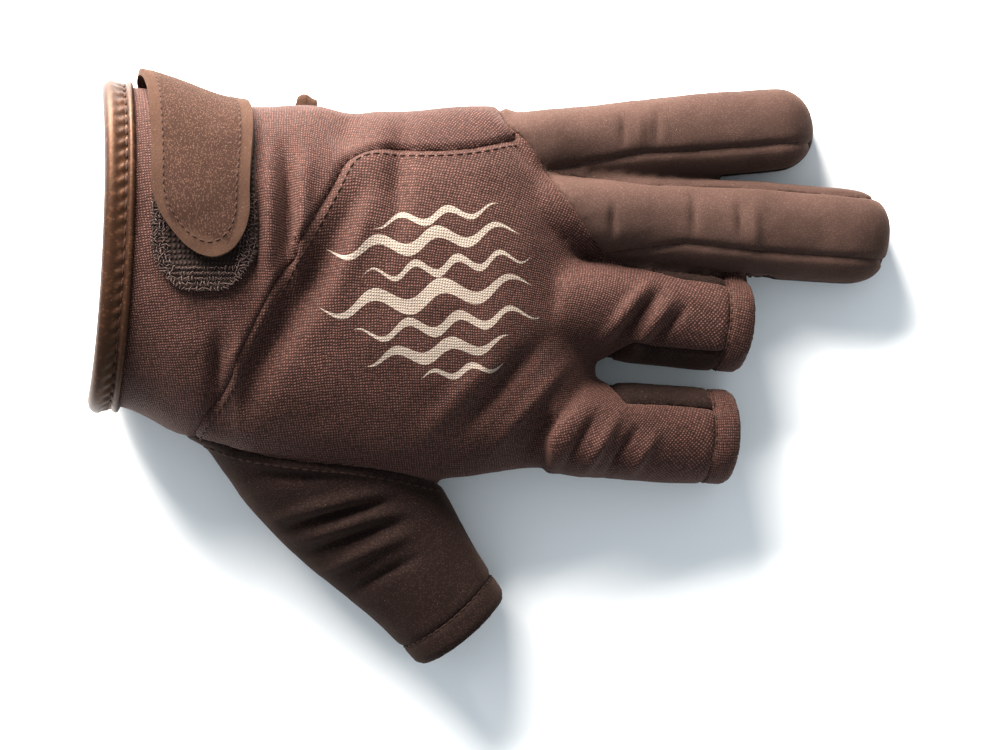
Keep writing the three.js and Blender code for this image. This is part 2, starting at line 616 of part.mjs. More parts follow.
// The leather binding, folded over the edge of the cuff. Its section is drawn as distances along the cuff from
// the edge of the cloth and out of the cloth, once round the outside and back along the slot for the cloth.
function bindingSection() {
  const outer = FIT_GAP + BINDING_WALL;
  const inner = -CLOTH - FIT_GAP - BINDING_WALL;
  const middle = (outer + inner) / 2;
  const swell = 0.35 * BINDING_WALL;
  return [
    [BINDING_WIDTH, FIT_GAP],
    [BINDING_WIDTH, outer - swell],
    [BINDING_WIDTH * 0.72, outer],
    [BINDING_WIDTH * 0.5, outer - swell],
    [BINDING_WIDTH * 0.2, outer],
    [-BINDING_ROLL * 0.55, outer - swell],
    [-BINDING_ROLL, middle],
    [-BINDING_ROLL * 0.55, inner + swell],
    [BINDING_WIDTH * 0.2, inner],
    [BINDING_WIDTH, inner],
    [BINDING_WIDTH, -CLOTH - FIT_GAP],
    [-2 * FIT_GAP, -CLOTH - FIT_GAP],
    [-2 * FIT_GAP, FIT_GAP],
  ];
}

function cuffBinding() {
  const section = bindingSection();
  const rings = ringAngles(HAND_SIDES).map((angle) => section.map(([along, out]) => {
    const point = handPoint(Math.max(along, 0) / HAND_LENGTH, angle, out);
    return point.add(new THREE.Vector3(Math.min(along, 0), 0, 0));
  }));
  return loft(rings, true);
}
glove.add(mesh("cuff_binding", cuffBinding(), leather));

// A sheet of even thickness over a grid of places. place gives the middle of its underside and its outward
// direction for two shares, each from 0 to 1.
function sheet(place, lengthSteps, widthSteps, thickness) {
  const rings = stationsFrom(0, 1, lengthSteps).map((u) => {
    const row = stationsFrom(0, 1, widthSteps).map((v) => place(u, v));
    const under = row.map(({ point }) => point.clone());
    const over = row.map(({ point, out }) => point.clone().addScaledVector(out, thickness));
    return [...under, ...over.reverse()];
  });
  return loft(rings);
}

// The strap: from the side of the wrist, over its own springy fold, to its tip on the back of the wrist.
const strapTable = smoothTable(STRAP_OUTLINE);
const strapLie = 3 * FIT_GAP + PATCH_THICKNESS;
function strapPlace(reach, share) {
  const outline = strapTable(reach);
  const width = outline.cuffEdge + (outline.handEdge - outline.cuffEdge) * share;
  const skew = STRAP_SKEW * Math.exp(-(((reach - 0.2) / 0.2) ** 2));
  const along = STRAP_ALONG + (width * STRAP_WIDTH - skew) / HAND_LENGTH;
  const angle = radians(STRAP_FROM + (STRAP_TO - STRAP_FROM) * reach);
  const onPatch = THREE.MathUtils.smoothstep(reach, 0.3, 0.6);
  const fold = Math.exp(-(((reach - 0.34) / 0.16) ** 2));
  const off = FIT_GAP + (strapLie - FIT_GAP) * onPatch + STRAP_SPRING * fold * (1 - 0.8 * width);
  const point = handPoint(along, angle, off);
  const out = handPoint(along, angle, off + 1).sub(point).normalize();
  return { point, out };
}
glove.add(mesh("strap", sheet(strapPlace, STRAP_STEPS, 4, STRAP_THICKNESS), suede));

// The loop patch lies on the back of the wrist under the strap, with round corners at its inner end.
function patchPlace(reach, share) {
  const corner = PATCH_WIDTH * 0.42;
  const left = PATCH_LENGTH * (1 - reach);
  const pulled = left < corner ? corner - Math.sqrt(corner * corner - (corner - left) ** 2) : 0;
  const width = (PATCH_WIDTH - 2 * pulled) * (share - 0.5) + STRAP_WIDTH / 2;
  const along = STRAP_ALONG + width / HAND_LENGTH;
  const section = handTable(along);
  const low = acrossY(section.thumbSide);
  const half = (acrossY(section.outerSide) - low) / 2;
  const side = (acrossY(PATCH_FROM) - PATCH_LENGTH * reach - low - half) / half;
  const angle = Math.acos(signedPower(side, 2.3 / 2));
  const point = handPoint(along, angle, 2 * FIT_GAP);
  const out = handPoint(along, angle, 2 * FIT_GAP + 1).sub(point).normalize();
  return { point, out };
}
glove.add(mesh("loop_patch", sheet(patchPlace, 12, 4, PATCH_THICKNESS), loopPile));

// The side tab: a short tape folded in two and sewn into the side seam.
function sideTab() {
  const root = handPoint(TAB_ALONG, radians(-12), 3 * FIT_GAP);
  const turn = TAB_THICKNESS * 1.4;
  const shape = new THREE.Shape();
  shape.moveTo(0, turn);
  shape.lineTo(TAB_REACH - turn, turn);
  shape.absarc(TAB_REACH - turn, 0, turn, Math.PI / 2, -Math.PI / 2, true);
  shape.lineTo(0, -turn);
  shape.lineTo(0, -turn + TAB_THICKNESS);
  shape.lineTo(TAB_REACH - turn, -turn + TAB_THICKNESS);
  shape.absarc(TAB_REACH - turn, 0, turn - TAB_THICKNESS, -Math.PI / 2, Math.PI / 2, false);
  shape.lineTo(0, turn - TAB_THICKNESS);
  const geometry = new THREE.ExtrudeGeometry(shape, { depth: TAB_WIDTH, bevelEnabled: false, curveSegments: 6 });
  geometry.translate(0, 0, -TAB_WIDTH / 2);
  geometry.applyMatrix4(new THREE.Matrix4().makeBasis(
    new THREE.Vector3(0, 1, 0), new THREE.Vector3(0, 0, 1), new THREE.Vector3(1, 0, 0),
  ));
  geometry.translate(root.x, root.y, root.z);
  return solidOf(geometry);
}
glove.add(mesh("side_tab", sideTab(), suede));

export default glove;
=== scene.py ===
# %% [markdown]
# # A fishing glove, sewn in Blender
# This lesson makes a left-hand fishing glove that lies palm down. Two fingers are closed, two fingers and the
# thumb are cut short and hemmed, and a strap with hooks closes the wrist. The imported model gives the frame: one
# solid for each piece, in metres, with +X to the fingertips, +Y to the little finger and +Z up.

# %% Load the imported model
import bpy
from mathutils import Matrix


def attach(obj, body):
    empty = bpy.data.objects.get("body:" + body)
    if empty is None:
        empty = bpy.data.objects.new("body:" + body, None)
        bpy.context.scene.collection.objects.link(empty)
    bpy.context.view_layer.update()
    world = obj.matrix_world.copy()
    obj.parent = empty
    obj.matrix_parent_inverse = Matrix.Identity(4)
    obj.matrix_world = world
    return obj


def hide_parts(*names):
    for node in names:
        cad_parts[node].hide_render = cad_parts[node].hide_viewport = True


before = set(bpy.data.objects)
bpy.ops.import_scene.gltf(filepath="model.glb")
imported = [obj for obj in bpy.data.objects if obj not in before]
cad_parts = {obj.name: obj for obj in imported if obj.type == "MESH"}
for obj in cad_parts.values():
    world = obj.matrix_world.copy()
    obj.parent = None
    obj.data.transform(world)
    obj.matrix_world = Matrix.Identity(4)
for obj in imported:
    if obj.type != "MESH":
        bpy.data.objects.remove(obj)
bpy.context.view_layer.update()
print("nodes:", sorted(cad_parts))

# %% The tools of this lesson
import math
import random

import bmesh
import bpy
import numpy as np
from mathutils import Matrix, Vector, kdtree, noise
from mathutils.bvhtree import BVHTree

MM = 0.001
chance = random.Random(7)

# %% [markdown]
# ## Sizes and tables
# A glove is cut from flat cloth, but in use it is filled out, so its form is one wide tube and five narrow ones.
# Each tube is a table with a row for each cross-section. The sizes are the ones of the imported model.

# %% Sizes of the glove
CLOTH = 1.8 * MM
HEM_WALL = 2.6 * MM
HEM_WIDTH = 6.2 * MM
SIDE_SEAM_HEIGHT = 8 * MM
SEAM_PAST = 3.4 * MM
PRESS = 1.6 * MM
HAND_LENGTH = 126.5 * MM
HAND_WIDTH = 90 * MM
HAND_HEIGHT = 45 * MM
FORK_BOW = 7 * MM
FIT_GAP = 0.3 * MM
MOUTH_BULGE = 0.072

# %% Sections of the hand
HAND_SECTIONS = [
    dict(along=0.0, thumb_side=-0.375, outer_side=0.474, height=0.97, lean=0.075, lag=-0.027, bow=0.0),
    dict(along=0.05, thumb_side=-0.38, outer_side=0.472, height=0.97, lean=0.075, lag=-0.027, bow=0.0),
    dict(along=0.1, thumb_side=-0.408, outer_side=0.466, height=0.97, lean=0.073, lag=-0.022, bow=0.0),
    dict(along=0.157, thumb_side=-0.455, outer_side=0.452, height=0.97, lean=0.068, lag=-0.012, bow=0.0),
    dict(along=0.255, thumb_side=-0.505, outer_side=0.427, height=0.95, lean=0.05, lag=0.0, bow=0.0),
    dict(along=0.408, thumb_side=-0.56, outer_side=0.43, height=0.9, lean=0.022, lag=0.0, bow=0.0),
    dict(along=0.559, thumb_side=-0.578, outer_side=0.42, height=0.86, lean=0.006, lag=0.03, bow=0.05),
    dict(along=0.706, thumb_side=-0.575, outer_side=0.42, height=0.81, lean=0.0, lag=0.07, bow=0.25),
    dict(along=0.824, thumb_side=-0.55, outer_side=0.434, height=0.75, lean=0.0, lag=0.1, bow=0.6),
    dict(along=0.902, thumb_side=-0.545, outer_side=0.442, height=0.64, lean=0.0, lag=0.12, bow=0.85),
    dict(along=0.951, thumb_side=-0.53, outer_side=0.432, height=0.48, lean=0.0, lag=0.13, bow=1.0),
    dict(along=0.971, thumb_side=-0.5, outer_side=0.405, height=0.34, lean=0.0, lag=0.13, bow=1.0),
]

# %% Sections of the fingers
CLOSED_FINGER = [
    dict(along=0.0, width=0.84, height=1.3),
    dict(along=0.14, width=0.86, height=1.24),
    dict(along=0.28, width=0.9, height=1.1),
    dict(along=0.42, width=0.95, height=1.02),
    dict(along=0.6, width=1.0, height=0.98),
    dict(along=0.8, width=1.0, height=0.94),
    dict(along=1.0, width=0.97, height=0.88),
]
OPEN_FINGER = [
    dict(along=0.0, width=0.94, height=1.36),
    dict(along=0.15, width=0.96, height=1.32),
    dict(along=0.35, width=0.98, height=1.18),
    dict(along=0.6, width=1.0, height=1.06),
    dict(along=1.0, width=0.95, height=0.97),
]
THUMB_SECTIONS = [
    dict(along=0.0, width=0.95, height=1.0),
    dict(along=0.25, width=1.02, height=0.96),
    dict(along=0.45, width=0.98, height=0.87),
    dict(along=0.62, width=0.86, height=0.8),
    dict(along=0.8, width=0.71, height=0.78),
    dict(along=1.0, width=0.63, height=0.77),
]
FINGERS = {
    "little": dict(root=(0.786, 0.322), heading=4.7, blunt=2.1, length=80 * MM, width=20.6 * MM,
                   height=18.5 * MM, sections=CLOSED_FINGER),
    "ring": dict(root=(0.866, 0.149), heading=-4.1, blunt=2.8, length=88 * MM, width=23.6 * MM,
                 height=21 * MM, sections=CLOSED_FINGER),
    "middle": dict(root=(0.905, -0.108), heading=-6, blunt=0, length=48 * MM, width=24 * MM,
                   height=22.5 * MM, sections=OPEN_FINGER),
    "index": dict(root=(0.889, -0.438), heading=-3.6, blunt=0, length=46.4 * MM, width=24 * MM,
                  height=22.5 * MM, sections=OPEN_FINGER),
    "thumb": dict(root=(0.322, -0.306), heading=-51.3, blunt=0, length=81.5 * MM, width=42 * MM,
                  height=30 * MM, sections=THUMB_SECTIONS),
}

# %% Seams of the back, seen from above
WRIST_SEAM = [(0.212, -0.46), (0.292, -0.316), (0.36, -0.122), (0.422, 0.031), (0.482, 0.189),
              (0.512, 0.273), (0.556, 0.303), (0.646, 0.3), (0.738, 0.308), (0.824, 0.34)]
KNUCKLE_SEAM = [(0.784, 0.6), (0.794, 0.434), (0.832, 0.348), (0.884, 0.258), (0.945, 0.12), (0.99, 0.026)]
THUMB_SEAM = [(0.098, -0.45), (0.212, -0.468), (0.299, -0.503), (0.417, -0.528), (0.512, -0.542),
              (0.604, -0.566), (0.686, -0.6)]
FORKS = [
    dict(above="little", below="ring", at=(0.884, 0.258), run=24, above_inset=0.27, below_inset=0.07,
         strips=["little_ring_strip"]),
    dict(above="ring", below="middle", at=(0.99, 0.026), run=20, above_inset=0.24, below_inset=0.07,
         strips=["ring_lower_strip", "middle_upper_strip"]),
    dict(above="middle", below="index", at=(0.985, -0.272), run=7, above_inset=0.17, below_inset=0.18,
         strips=["middle_lower_strip", "index_upper_strip"]),
]


# %% Read a table between its rows
def smooth_table(rows):
    """A function of the first column that gives the other columns by name."""
    names = list(rows[0])
    data = np.array([[row[name] for name in names] for row in rows])
    at, values = data[:, 0], data[:, 1:]
    slopes = np.gradient(values, at, axis=0)

    def read(x):
        x = min(max(x, at[0]), at[-1])
        i = int(min(max(np.searchsorted(at, x) - 1, 0), len(at) - 2))
        span = at[i + 1] - at[i]
        t = (x - at[i]) / span
        found = ((1 + 2 * t) * (1 - t) ** 2 * values[i] + t * (1 - t) ** 2 * span * slopes[i]
                 + t * t * (3 - 2 * t) * values[i + 1] + t * t * (t - 1) * span * slopes[i + 1])
        return dict(zip(names[1:], (float(v) for v in found)))
    return read


def plan_point(at):
    """A place seen from above, from its shares of the hand's length and width."""
    return Vector(((at[0] - 0.5) * HAND_LENGTH, at[1] * HAND_WIDTH, 0))


def smooth_step(value, low, high):
    """Nothing up to the low value, one from the high value on, and a soft slope between them."""
    t = min(max((value - low) / (high - low), 0), 1)
    return t * t * (3 - 2 * t)


hand_table = smooth_table(HAND_SECTIONS)
for finger in FINGERS.values():
    heading = math.radians(finger["heading"])
    finger["start"] = plan_point(finger["root"])
    finger["axis"] = Vector((math.cos(heading), math.sin(heading), 0))
    finger["across"] = Vector((-math.sin(heading), math.cos(heading), 0))
    finger["table"] = smooth_table(finger["sections"])
print("fingers:", ", ".join(FINGERS))


# %% [markdown]
# ## The filled form
# One point of a section is enough to describe a tube: how far to the side and how high it is at an angle. The
# sections are round above and pressed flat where the palm lies on the floor.

# %% Points of the tubes
WIDEST_AT = 0.46
ROUND_ABOVE, ROUND_BELOW = 2.3, 3


def section_point(half, height, base, angle):
    """One point of a section that is round above and pressed flat below."""
    def power(value, exponent):
        return math.copysign(abs(value) ** exponent, value)

    middle = base + height * WIDEST_AT
    rise = math.sin(angle)
    if rise > 0:
        up = middle + (base + height - middle) * rise ** (2 / ROUND_ABOVE)
    else:
        up = middle - (middle - base + PRESS) * abs(rise) ** (2 / ROUND_BELOW)
    return half * power(math.cos(angle), 2 / ROUND_ABOVE), max(up, base)


CUFF_LIFT = 1.8 * MM
BINDING_WIDTH = 5.4 * MM


def hand_point(along, angle):
    """A point of the hand's tube. Below zero the tube runs straight on, past the cuff."""
    section = hand_table(along)
    held = BINDING_WIDTH / HAND_LENGTH
    base = CUFF_LIFT * (1 - smooth_step(along, held, 3 * held))
    low = section["thumb_side"] * HAND_WIDTH
    high = section["outer_side"] * HAND_WIDTH
    half = (high - low) / 2
    side, up = section_point(half, HAND_HEIGHT * section["height"] - base, base, angle)
    share = side / half
    shift = section["lean"] * (up / HAND_HEIGHT) ** 2 - section["lag"] * (share + 1) / 2
    x = (along - 0.5 + shift) * HAND_LENGTH + FORK_BOW * section["bow"] * (1 - share * share)
    return Vector((x, (low + high) / 2 + side, up))


def finger_point(finger, along, angle):
    """A point of a finger's tube, with its closed tip where it has one."""
    section = finger["table"](along)
    half = finger["width"] * section["width"] / 2
    height = finger["height"] * section["height"]
    tip = half / finger["length"] if finger["blunt"] else 0
    if tip and along > 1 - tip:
        past = min((along - 1 + tip) / tip, 1)
        left = (1 - past ** finger["blunt"]) ** (1 / finger["blunt"])
        half *= max(left, 0.02)
        height *= 0.35 + 0.65 * left
    side, up = section_point(half, height, 0, angle)
    place = finger["start"] + finger["axis"] * along * finger["length"] + finger["across"] * side
    return Vector((place.x, place.y, up))


# %% [markdown]
# A tube starts as a circle. Its edge loop is extruded once for each section, and the new loop is moved to the
# section's points. A whole-number layer on the vertices remembers which point of the ring each one is.

# %% Extrude a circle through rings of points
def tube(bm, rings, closed=False):
    """Adds a tube through rings of points. A closed one meets its own start, others are capped."""
    sides = len(rings[0])
    place = bm.verts.layers.int.get("place") or bm.verts.layers.int.new("place")
    circle = bmesh.ops.create_circle(bm, segments=sides, radius=0.01)["verts"]
    for number, vert in enumerate(circle):
        vert[place] = number
        vert.co = rings[0][number]
    first = list({edge for vert in circle for edge in vert.link_edges})
    loop = first
    for ring in rings[1:] + ([rings[0]] if closed else []):
        made = bmesh.ops.extrude_edge_only(bm, edges=loop)["geom"]
        verts = {item for item in made if isinstance(item, bmesh.types.BMVert)}
        for vert in verts:
            vert.co = ring[vert[place]]
        loop = [item for item in made if isinstance(item, bmesh.types.BMEdge) and verts.issuperset(item.verts)]
    if not closed:
        bmesh.ops.contextual_create(bm, geom=first)
        bmesh.ops.contextual_create(bm, geom=loop)
    return circle


def ring_of(point, sides):
    """The points that a function gives at so many angles all round."""
    return [point(2 * math.pi * number / sides) for number in range(sides)]


# %% The six tubes, overlapping
HAND_SIDES, HAND_RINGS = 120, 90
FINGER_SIDES, FINGER_RINGS, TIP_RINGS = 64, 40, 14
PAST_CUFF = -0.06
filled = bmesh.new()
hand_rings = []
for along in np.linspace(PAST_CUFF, HAND_SECTIONS[-1]["along"], HAND_RINGS):
    ring = ring_of(lambda angle: hand_point(max(along, 0), angle), HAND_SIDES)
    if along < 0:
        ring = [point + Vector((along * HAND_LENGTH, 0, 0)) for point in ring]
    hand_rings.append(ring)
tube(filled, hand_rings)
for finger in FINGERS.values():
    tip = finger["width"] / 2 / finger["length"] if finger["blunt"] else 0
    stations = list(np.linspace(0, 1 - tip, FINGER_RINGS))
    if tip:
        stations += [1 - tip * (1 - past) for past in np.sin(np.linspace(0.08, 1, TIP_RINGS) * math.pi / 2)]
    rings = [ring_of(lambda angle: finger_point(finger, along, angle), FINGER_SIDES) for along in stations]
    if not tip:
        past = finger["axis"] * finger["width"] * MOUTH_BULGE * 2
        rings.append([point + past for point in rings[-1]])
    tube(filled, rings)
bmesh.ops.recalc_face_normals(filled, faces=filled.faces)
print("tubes:", len(filled.verts), "vertices")


# %% [markdown]
# A voxel remesh melts the six tubes into one skin of even squares, as fine as the folds need. A few rounds of
# smoothing take off the steps of the voxels, and more rounds soften the forks and the root of the thumb.

# %% Melt the tubes into one skin
VOXEL = 0.9 * MM
SMOOTHINGS = 3


def object_from(bm, name):
    """A new object in the scene with the bmesh as its mesh."""
    mesh = bpy.data.meshes.new(name)
    bm.to_mesh(mesh)
    made = bpy.data.objects.new(name, mesh)
    bpy.context.scene.collection.objects.link(made)
    return made


def final_mesh(made):
    """The mesh of an object with its modifiers applied."""
    seen = made.evaluated_get(bpy.context.evaluated_depsgraph_get())
    return bpy.data.meshes.new_from_object(seen)


melted = object_from(filled, "melted")
filled.free()
remesh = melted.modifiers.new("melt", "REMESH")
remesh.mode = "VOXEL"
remesh.voxel_size = VOXEL
skin = bmesh.new()
skin.from_mesh(final_mesh(melted))
bpy.data.objects.remove(melted)
for _ in range(SMOOTHINGS):
    bmesh.ops.smooth_vert(skin, verts=skin.verts, factor=0.5, use_axis_x=True, use_axis_y=True, use_axis_z=True)
print("skin:", len(skin.verts), "vertices")

# %% Soften the forks and the root of the thumb
SOFT_SPOTS = [
    dict(x=49.5, y=23.5, radius=9, rounds=14),
    dict(x=62.0, y=2.5, radius=10, rounds=14),
    dict(x=61.5, y=-24.5, radius=9, rounds=14),
    dict(x=38.0, y=33.0, radius=12, rounds=10),
    dict(x=56.0, y=-8.0, radius=14, rounds=10),
    dict(x=56.0, y=-38.0, radius=14, rounds=10),
    dict(x=23.5, y=-51.5, radius=13, rounds=24),
    dict(x=-5.0, y=-46.0, radius=20, rounds=16),
    dict(x=-30.0, y=-42.0, radius=14, rounds=20),
]
for spot in SOFT_SPOTS:
    centre = Vector((spot["x"] * MM, spot["y"] * MM))
    near = [vert for vert in skin.verts if (vert.co.xy - centre).length < spot["radius"] * MM]
    for _ in range(spot["rounds"]):
        bmesh.ops.smooth_vert(skin, verts=near, factor=0.5, use_axis_x=True, use_axis_y=True, use_axis_z=True)
print("softened", len(SOFT_SPOTS), "spots")

# %% [markdown]
# ## Folds
# Where a glove bends, padded cloth gathers in long soft ridges with valleys between them. Each row of the table
# is one fold seen from above: its middle, its heading, its length and width, how far it rises or sinks, and how
# far it bends sideways. The skin moves along its normals by the sum of them all.

# %% Table of the folds
FOLDS = [
    dict(x=-17.6, y=9.7, heading=-89, length=52, width=6.0, rise=1.7, bend=1.0),
    dict(x=-13.9, y=8.0, heading=-89, length=48, width=5.0, rise=-2.4, bend=1.8),
    dict(x=-10.4, y=8.9, heading=-94, length=44, width=6.0, rise=1.8, bend=1.0),
    dict(x=-19.2, y=5.1, heading=-91, length=27, width=3.2, rise=-1.2, bend=0.0),
    dict(x=-12.1, y=-10.7, heading=-120, length=86, width=11.0, rise=-3.0, bend=1.5),
    dict(x=-17.9, y=-10.4, heading=-117, length=72, width=5.1, rise=0.7, bend=0.5),
    dict(x=-29.3, y=-27.3, heading=-96, length=28, width=4.5, rise=-1.8, bend=0.0),
    dict(x=-24.2, y=-26.9, heading=-93, length=32, width=4.5, rise=1.2, bend=0.0),
    dict(x=0.4, y=33.1, heading=-84, length=20, width=14.7, rise=-2.2, bend=0.0),
    dict(x=13.8, y=20.5, heading=-90, length=37, width=8.3, rise=-1.7, bend=-0.7),
    dict(x=41.4, y=31.4, heading=-67, length=21, width=5.7, rise=-1.2, bend=0.0),
    dict(x=2.4, y=4.7, heading=-109, length=37, width=7.0, rise=0.8, bend=0.7),
    dict(x=38.0, y=-29.8, heading=49, length=40, width=7.0, rise=-1.7, bend=0.7),
    dict(x=44.2, y=-34.1, heading=49, length=35, width=5.1, rise=1.0, bend=0.5),
    dict(x=50.5, y=-37.3, heading=49, length=31, width=5.1, rise=-1.2, bend=0.5),
    dict(x=27.5, y=-31.4, heading=48, length=36, width=6.4, rise=0.6, bend=0.0),
    dict(x=67.6, y=-11.4, heading=50, length=27, width=3.8, rise=1.2, bend=0.5),
    dict(x=70.1, y=-13.7, heading=51, length=24, width=2.9, rise=-1.3, bend=0.5),
    dict(x=73.8, y=-15.0, heading=52, length=23, width=3.8, rise=1.2, bend=0.5),
    dict(x=77.2, y=-16.2, heading=50, length=21, width=2.9, rise=-1.0, bend=0.2),
    dict(x=56.3, y=-43.4, heading=60, length=24, width=3.8, rise=-1.1, bend=0.5),
    dict(x=61.4, y=-43.6, heading=58, length=24, width=3.8, rise=1.0, bend=0.5),
    dict(x=66.6, y=-45.5, heading=57, length=20, width=3.2, rise=-1.0, bend=0.5),
    dict(x=71.9, y=-46.1, heading=57, length=18, width=3.8, rise=0.8, bend=0.5),
    dict(x=-3.7, y=-58.5, heading=14, length=36, width=3.8, rise=1.3, bend=1.0),
    dict(x=-1.6, y=-61.0, heading=15, length=35, width=3.2, rise=-1.4, bend=1.0),
    dict(x=0.7, y=-63.6, heading=17, length=35, width=3.8, rise=1.3, bend=1.0),
    dict(x=2.4, y=-66.6, heading=20, length=33, width=3.2, rise=-1.3, bend=1.0),
    dict(x=4.9, y=-70.3, heading=24, length=32, width=4.1, rise=1.2, bend=1.0),
    dict(x=9.4, y=-75.5, heading=29, length=27, width=3.5, rise=-0.9, bend=0.7),
    dict(x=-14.2, y=-51.2, heading=0, length=27, width=4.5, rise=-1.0, bend=0.0),
    dict(x=-6.1, y=-49.2, heading=-6, length=49, width=3.2, rise=0.5, bend=0.0),
    dict(x=67.3, y=33.3, heading=-87, length=10, width=2.2, rise=-0.5, bend=0.0),
    dict(x=71.3, y=33.5, heading=-88, length=11, width=3.2, rise=0.4, bend=0.0),
    dict(x=75.5, y=34.0, heading=-90, length=11, width=2.2, rise=-0.5, bend=0.0),
    dict(x=64.3, y=10.3, heading=-88, length=11, width=2.5, rise=-0.6, bend=0.0),
    dict(x=84.1, y=12.2, heading=-89, length=15, width=2.5, rise=-0.5, bend=0.0),
    dict(x=95.4, y=11.6, heading=-86, length=13, width=2.5, rise=-0.5, bend=0.0),
    dict(x=99.2, y=9.3, heading=-85, length=14, width=2.9, rise=0.5, bend=0.0),
]


# %% Fold the skin
FOLD_STRENGTH = 1.5
FOLDED_FROM, FOLDED_FULLY = 5 * MM, 9 * MM
UNFOLDED_CUFF, FOLDED_PAST_CUFF = -52 * MM, 8 * MM
WIDE_CRUMPLE, FINE_CRUMPLE = 95, 240


def fold_height(x, y):
    """The sum of the folds at places seen from above, in metres."""
    total = np.zeros_like(x)
    for fold in FOLDS:
        heading = math.radians(fold["heading"])
        dx, dy = x - fold["x"] * MM, y - fold["y"] * MM
        run = (dx * math.cos(heading) + dy * math.sin(heading)) / (fold["length"] * MM / 2)
        side = (dy * math.cos(heading) - dx * math.sin(heading) - fold["bend"] * MM * (1 - run * run))
        fade = np.clip(1 - run * run, 0, 1) ** 2
        total += fold["rise"] * MM * fade * np.exp(-2 * (side / (fold["width"] * MM / 2)) ** 2)
    return FOLD_STRENGTH * total


skin.normal_update()
points = np.array([vert.co[:] for vert in skin.verts])
normals = np.array([vert.normal[:] for vert in skin.verts])
upper = np.clip((points[:, 2] - FOLDED_FROM) / FOLDED_FULLY, 0, 1) * np.clip(normals[:, 2] + 0.5, 0, 1)
past_cuff = np.clip((points[:, 0] - UNFOLDED_CUFF) / FOLDED_PAST_CUFF, 0, 1)
crumple = np.array([noise.noise(vert.co * WIDE_CRUMPLE) * 0.35 + noise.noise(vert.co * FINE_CRUMPLE) * 0.12
                    for vert in skin.verts])
move = fold_height(points[:, 0], points[:, 1]) + crumple * MM
moved = points + normals * (move * upper * past_cuff)[:, None]
moved[:, 2] = np.maximum(moved[:, 2], 0)
for vert, point in zip(skin.verts, moved):
    vert.co = point
print("folds:", len(FOLDS), "highest", round(float(move.max() / MM), 2), "mm")


# %% [markdown]
# ## Cut the skin along its seams
# The real glove is sewn from flat panels. Here the skin is cut instead: an upright plane through each short piece
# of a seam line splits the faces that it crosses, so the panels get clean edges. Then each face is given to the
# panel whose outline, seen from above, holds it.

# %% Seam lines
def smooth_line(points, pieces=3):
    """A smooth line through points, as a list of closer points."""
    found = []
    for i in range(len(points) - 1):
        before = points[max(i - 1, 0)]
        a, b = points[i], points[i + 1]
        after = points[min(i + 2, len(points) - 1)]
        for step in range(pieces):
            t = step / pieces
            found.append(0.5 * (2 * a + (b - before) * t + (2 * before - 5 * a + 4 * b - after) * t * t
                                + (3 * a - before - 3 * b + after) * t ** 3))
    return found + [points[-1].copy()]


def finger_plan(finger, along, side):
    """A place seen from above, so far along a finger and so far to its side."""
    return finger["start"] + finger["axis"] * along + finger["across"] * side


def finger_seam(finger, fork, side, inset):
    """The seam along one side of a finger, from its fork to past its end."""
    start = plan_point(fork["at"])
    first = (start - finger["start"]).dot(finger["axis"]) + fork["run"] * MM
    line = [start]
    for along in np.linspace(first, finger["length"] + SEAM_PAST, 12):
        half = finger["table"](along / finger["length"])["width"] / 2
        line.append(finger_plan(finger, along, side * (half - inset) * finger["width"]))
    return line


def mouth_arc(finger, back):
    """The arc across a finger that lies so far back from its mouth. It ends just outside the hem."""
    reach = (finger["table"](1 - 1.5 * HEM_WIDTH / finger["length"])["width"] / 2 + 0.03) * finger["width"]
    arc = []
    for side in np.linspace(-reach, reach, 9):
        bulge = MOUTH_BULGE * finger["width"] * (2 * side / finger["width"]) ** 2
        arc.append(finger_plan(finger, finger["length"] - back - bulge, side))
    return arc


wrist_line = smooth_line([plan_point(at) for at in WRIST_SEAM])
knuckle_line = smooth_line([plan_point(at) for at in KNUCKLE_SEAM])
thumb_line = smooth_line([plan_point(at) for at in THUMB_SEAM])
for fork in FORKS:
    fork["above_line"] = finger_seam(FINGERS[fork["above"]], fork, -1, fork["above_inset"])
    fork["below_line"] = finger_seam(FINGERS[fork["below"]], fork, 1, fork["below_inset"])
OPEN = ["middle", "index", "thumb"]
print("seam lines:", 3 + 2 * len(FORKS))

# %% Cut along each line
TALL = 60 * MM


def tree_of(points):
    """A search tree that finds the nearest of the points."""
    tree = kdtree.KDTree(len(points))
    for number, point in enumerate(points):
        tree.insert(point, number)
    tree.balance()
    return tree


def cut_along(bm, line, low=-MM, high=TALL):
    """Splits the faces between two heights that an upright line crosses."""
    faces = [face for face in bm.faces if low < face.calc_center_median().z < high]
    tree = tree_of([face.calc_center_median() * Vector((1, 1, 0)) for face in faces])
    fresh = []
    for a, b in zip(line, line[1:]):
        run = b - a
        ahead = run.normalized()
        across = Vector((-ahead.y, ahead.x, 0))
        near = {faces[number] for _, number, _ in tree.find_range((a + b) / 2, run.length / 2 + 2 * MM)}
        geom = set()
        for face in near.union(fresh):
            centre = face.calc_center_median() - a
            if abs(centre.dot(across)) < 2 * MM and -MM < centre.dot(ahead) < run.length + MM:
                geom.update([face, *face.verts, *face.edges])
        cut = bmesh.ops.bisect_plane(bm, geom=list(geom), dist=0.1 * MM, plane_co=a, plane_no=across)["geom"]
        fresh = [item for item in cut if isinstance(item, bmesh.types.BMFace)]


skin.normal_update()
smooth_normals = [vert.normal.copy() for vert in skin.verts]
smooth_places = tree_of([vert.co.copy() for vert in skin.verts])
for line in [wrist_line, knuckle_line] + [fork[side] for fork in FORKS for side in ("above_line", "below_line")]:
    cut_along(skin, line, low=SIDE_SEAM_HEIGHT - 2 * MM)
cut_along(skin, thumb_line)
for name in OPEN:
    cut_along(skin, mouth_arc(FINGERS[name], 0))
    cut_along(skin, mouth_arc(FINGERS[name], HEM_WIDTH))
print("after the cuts:", len(skin.faces), "faces")


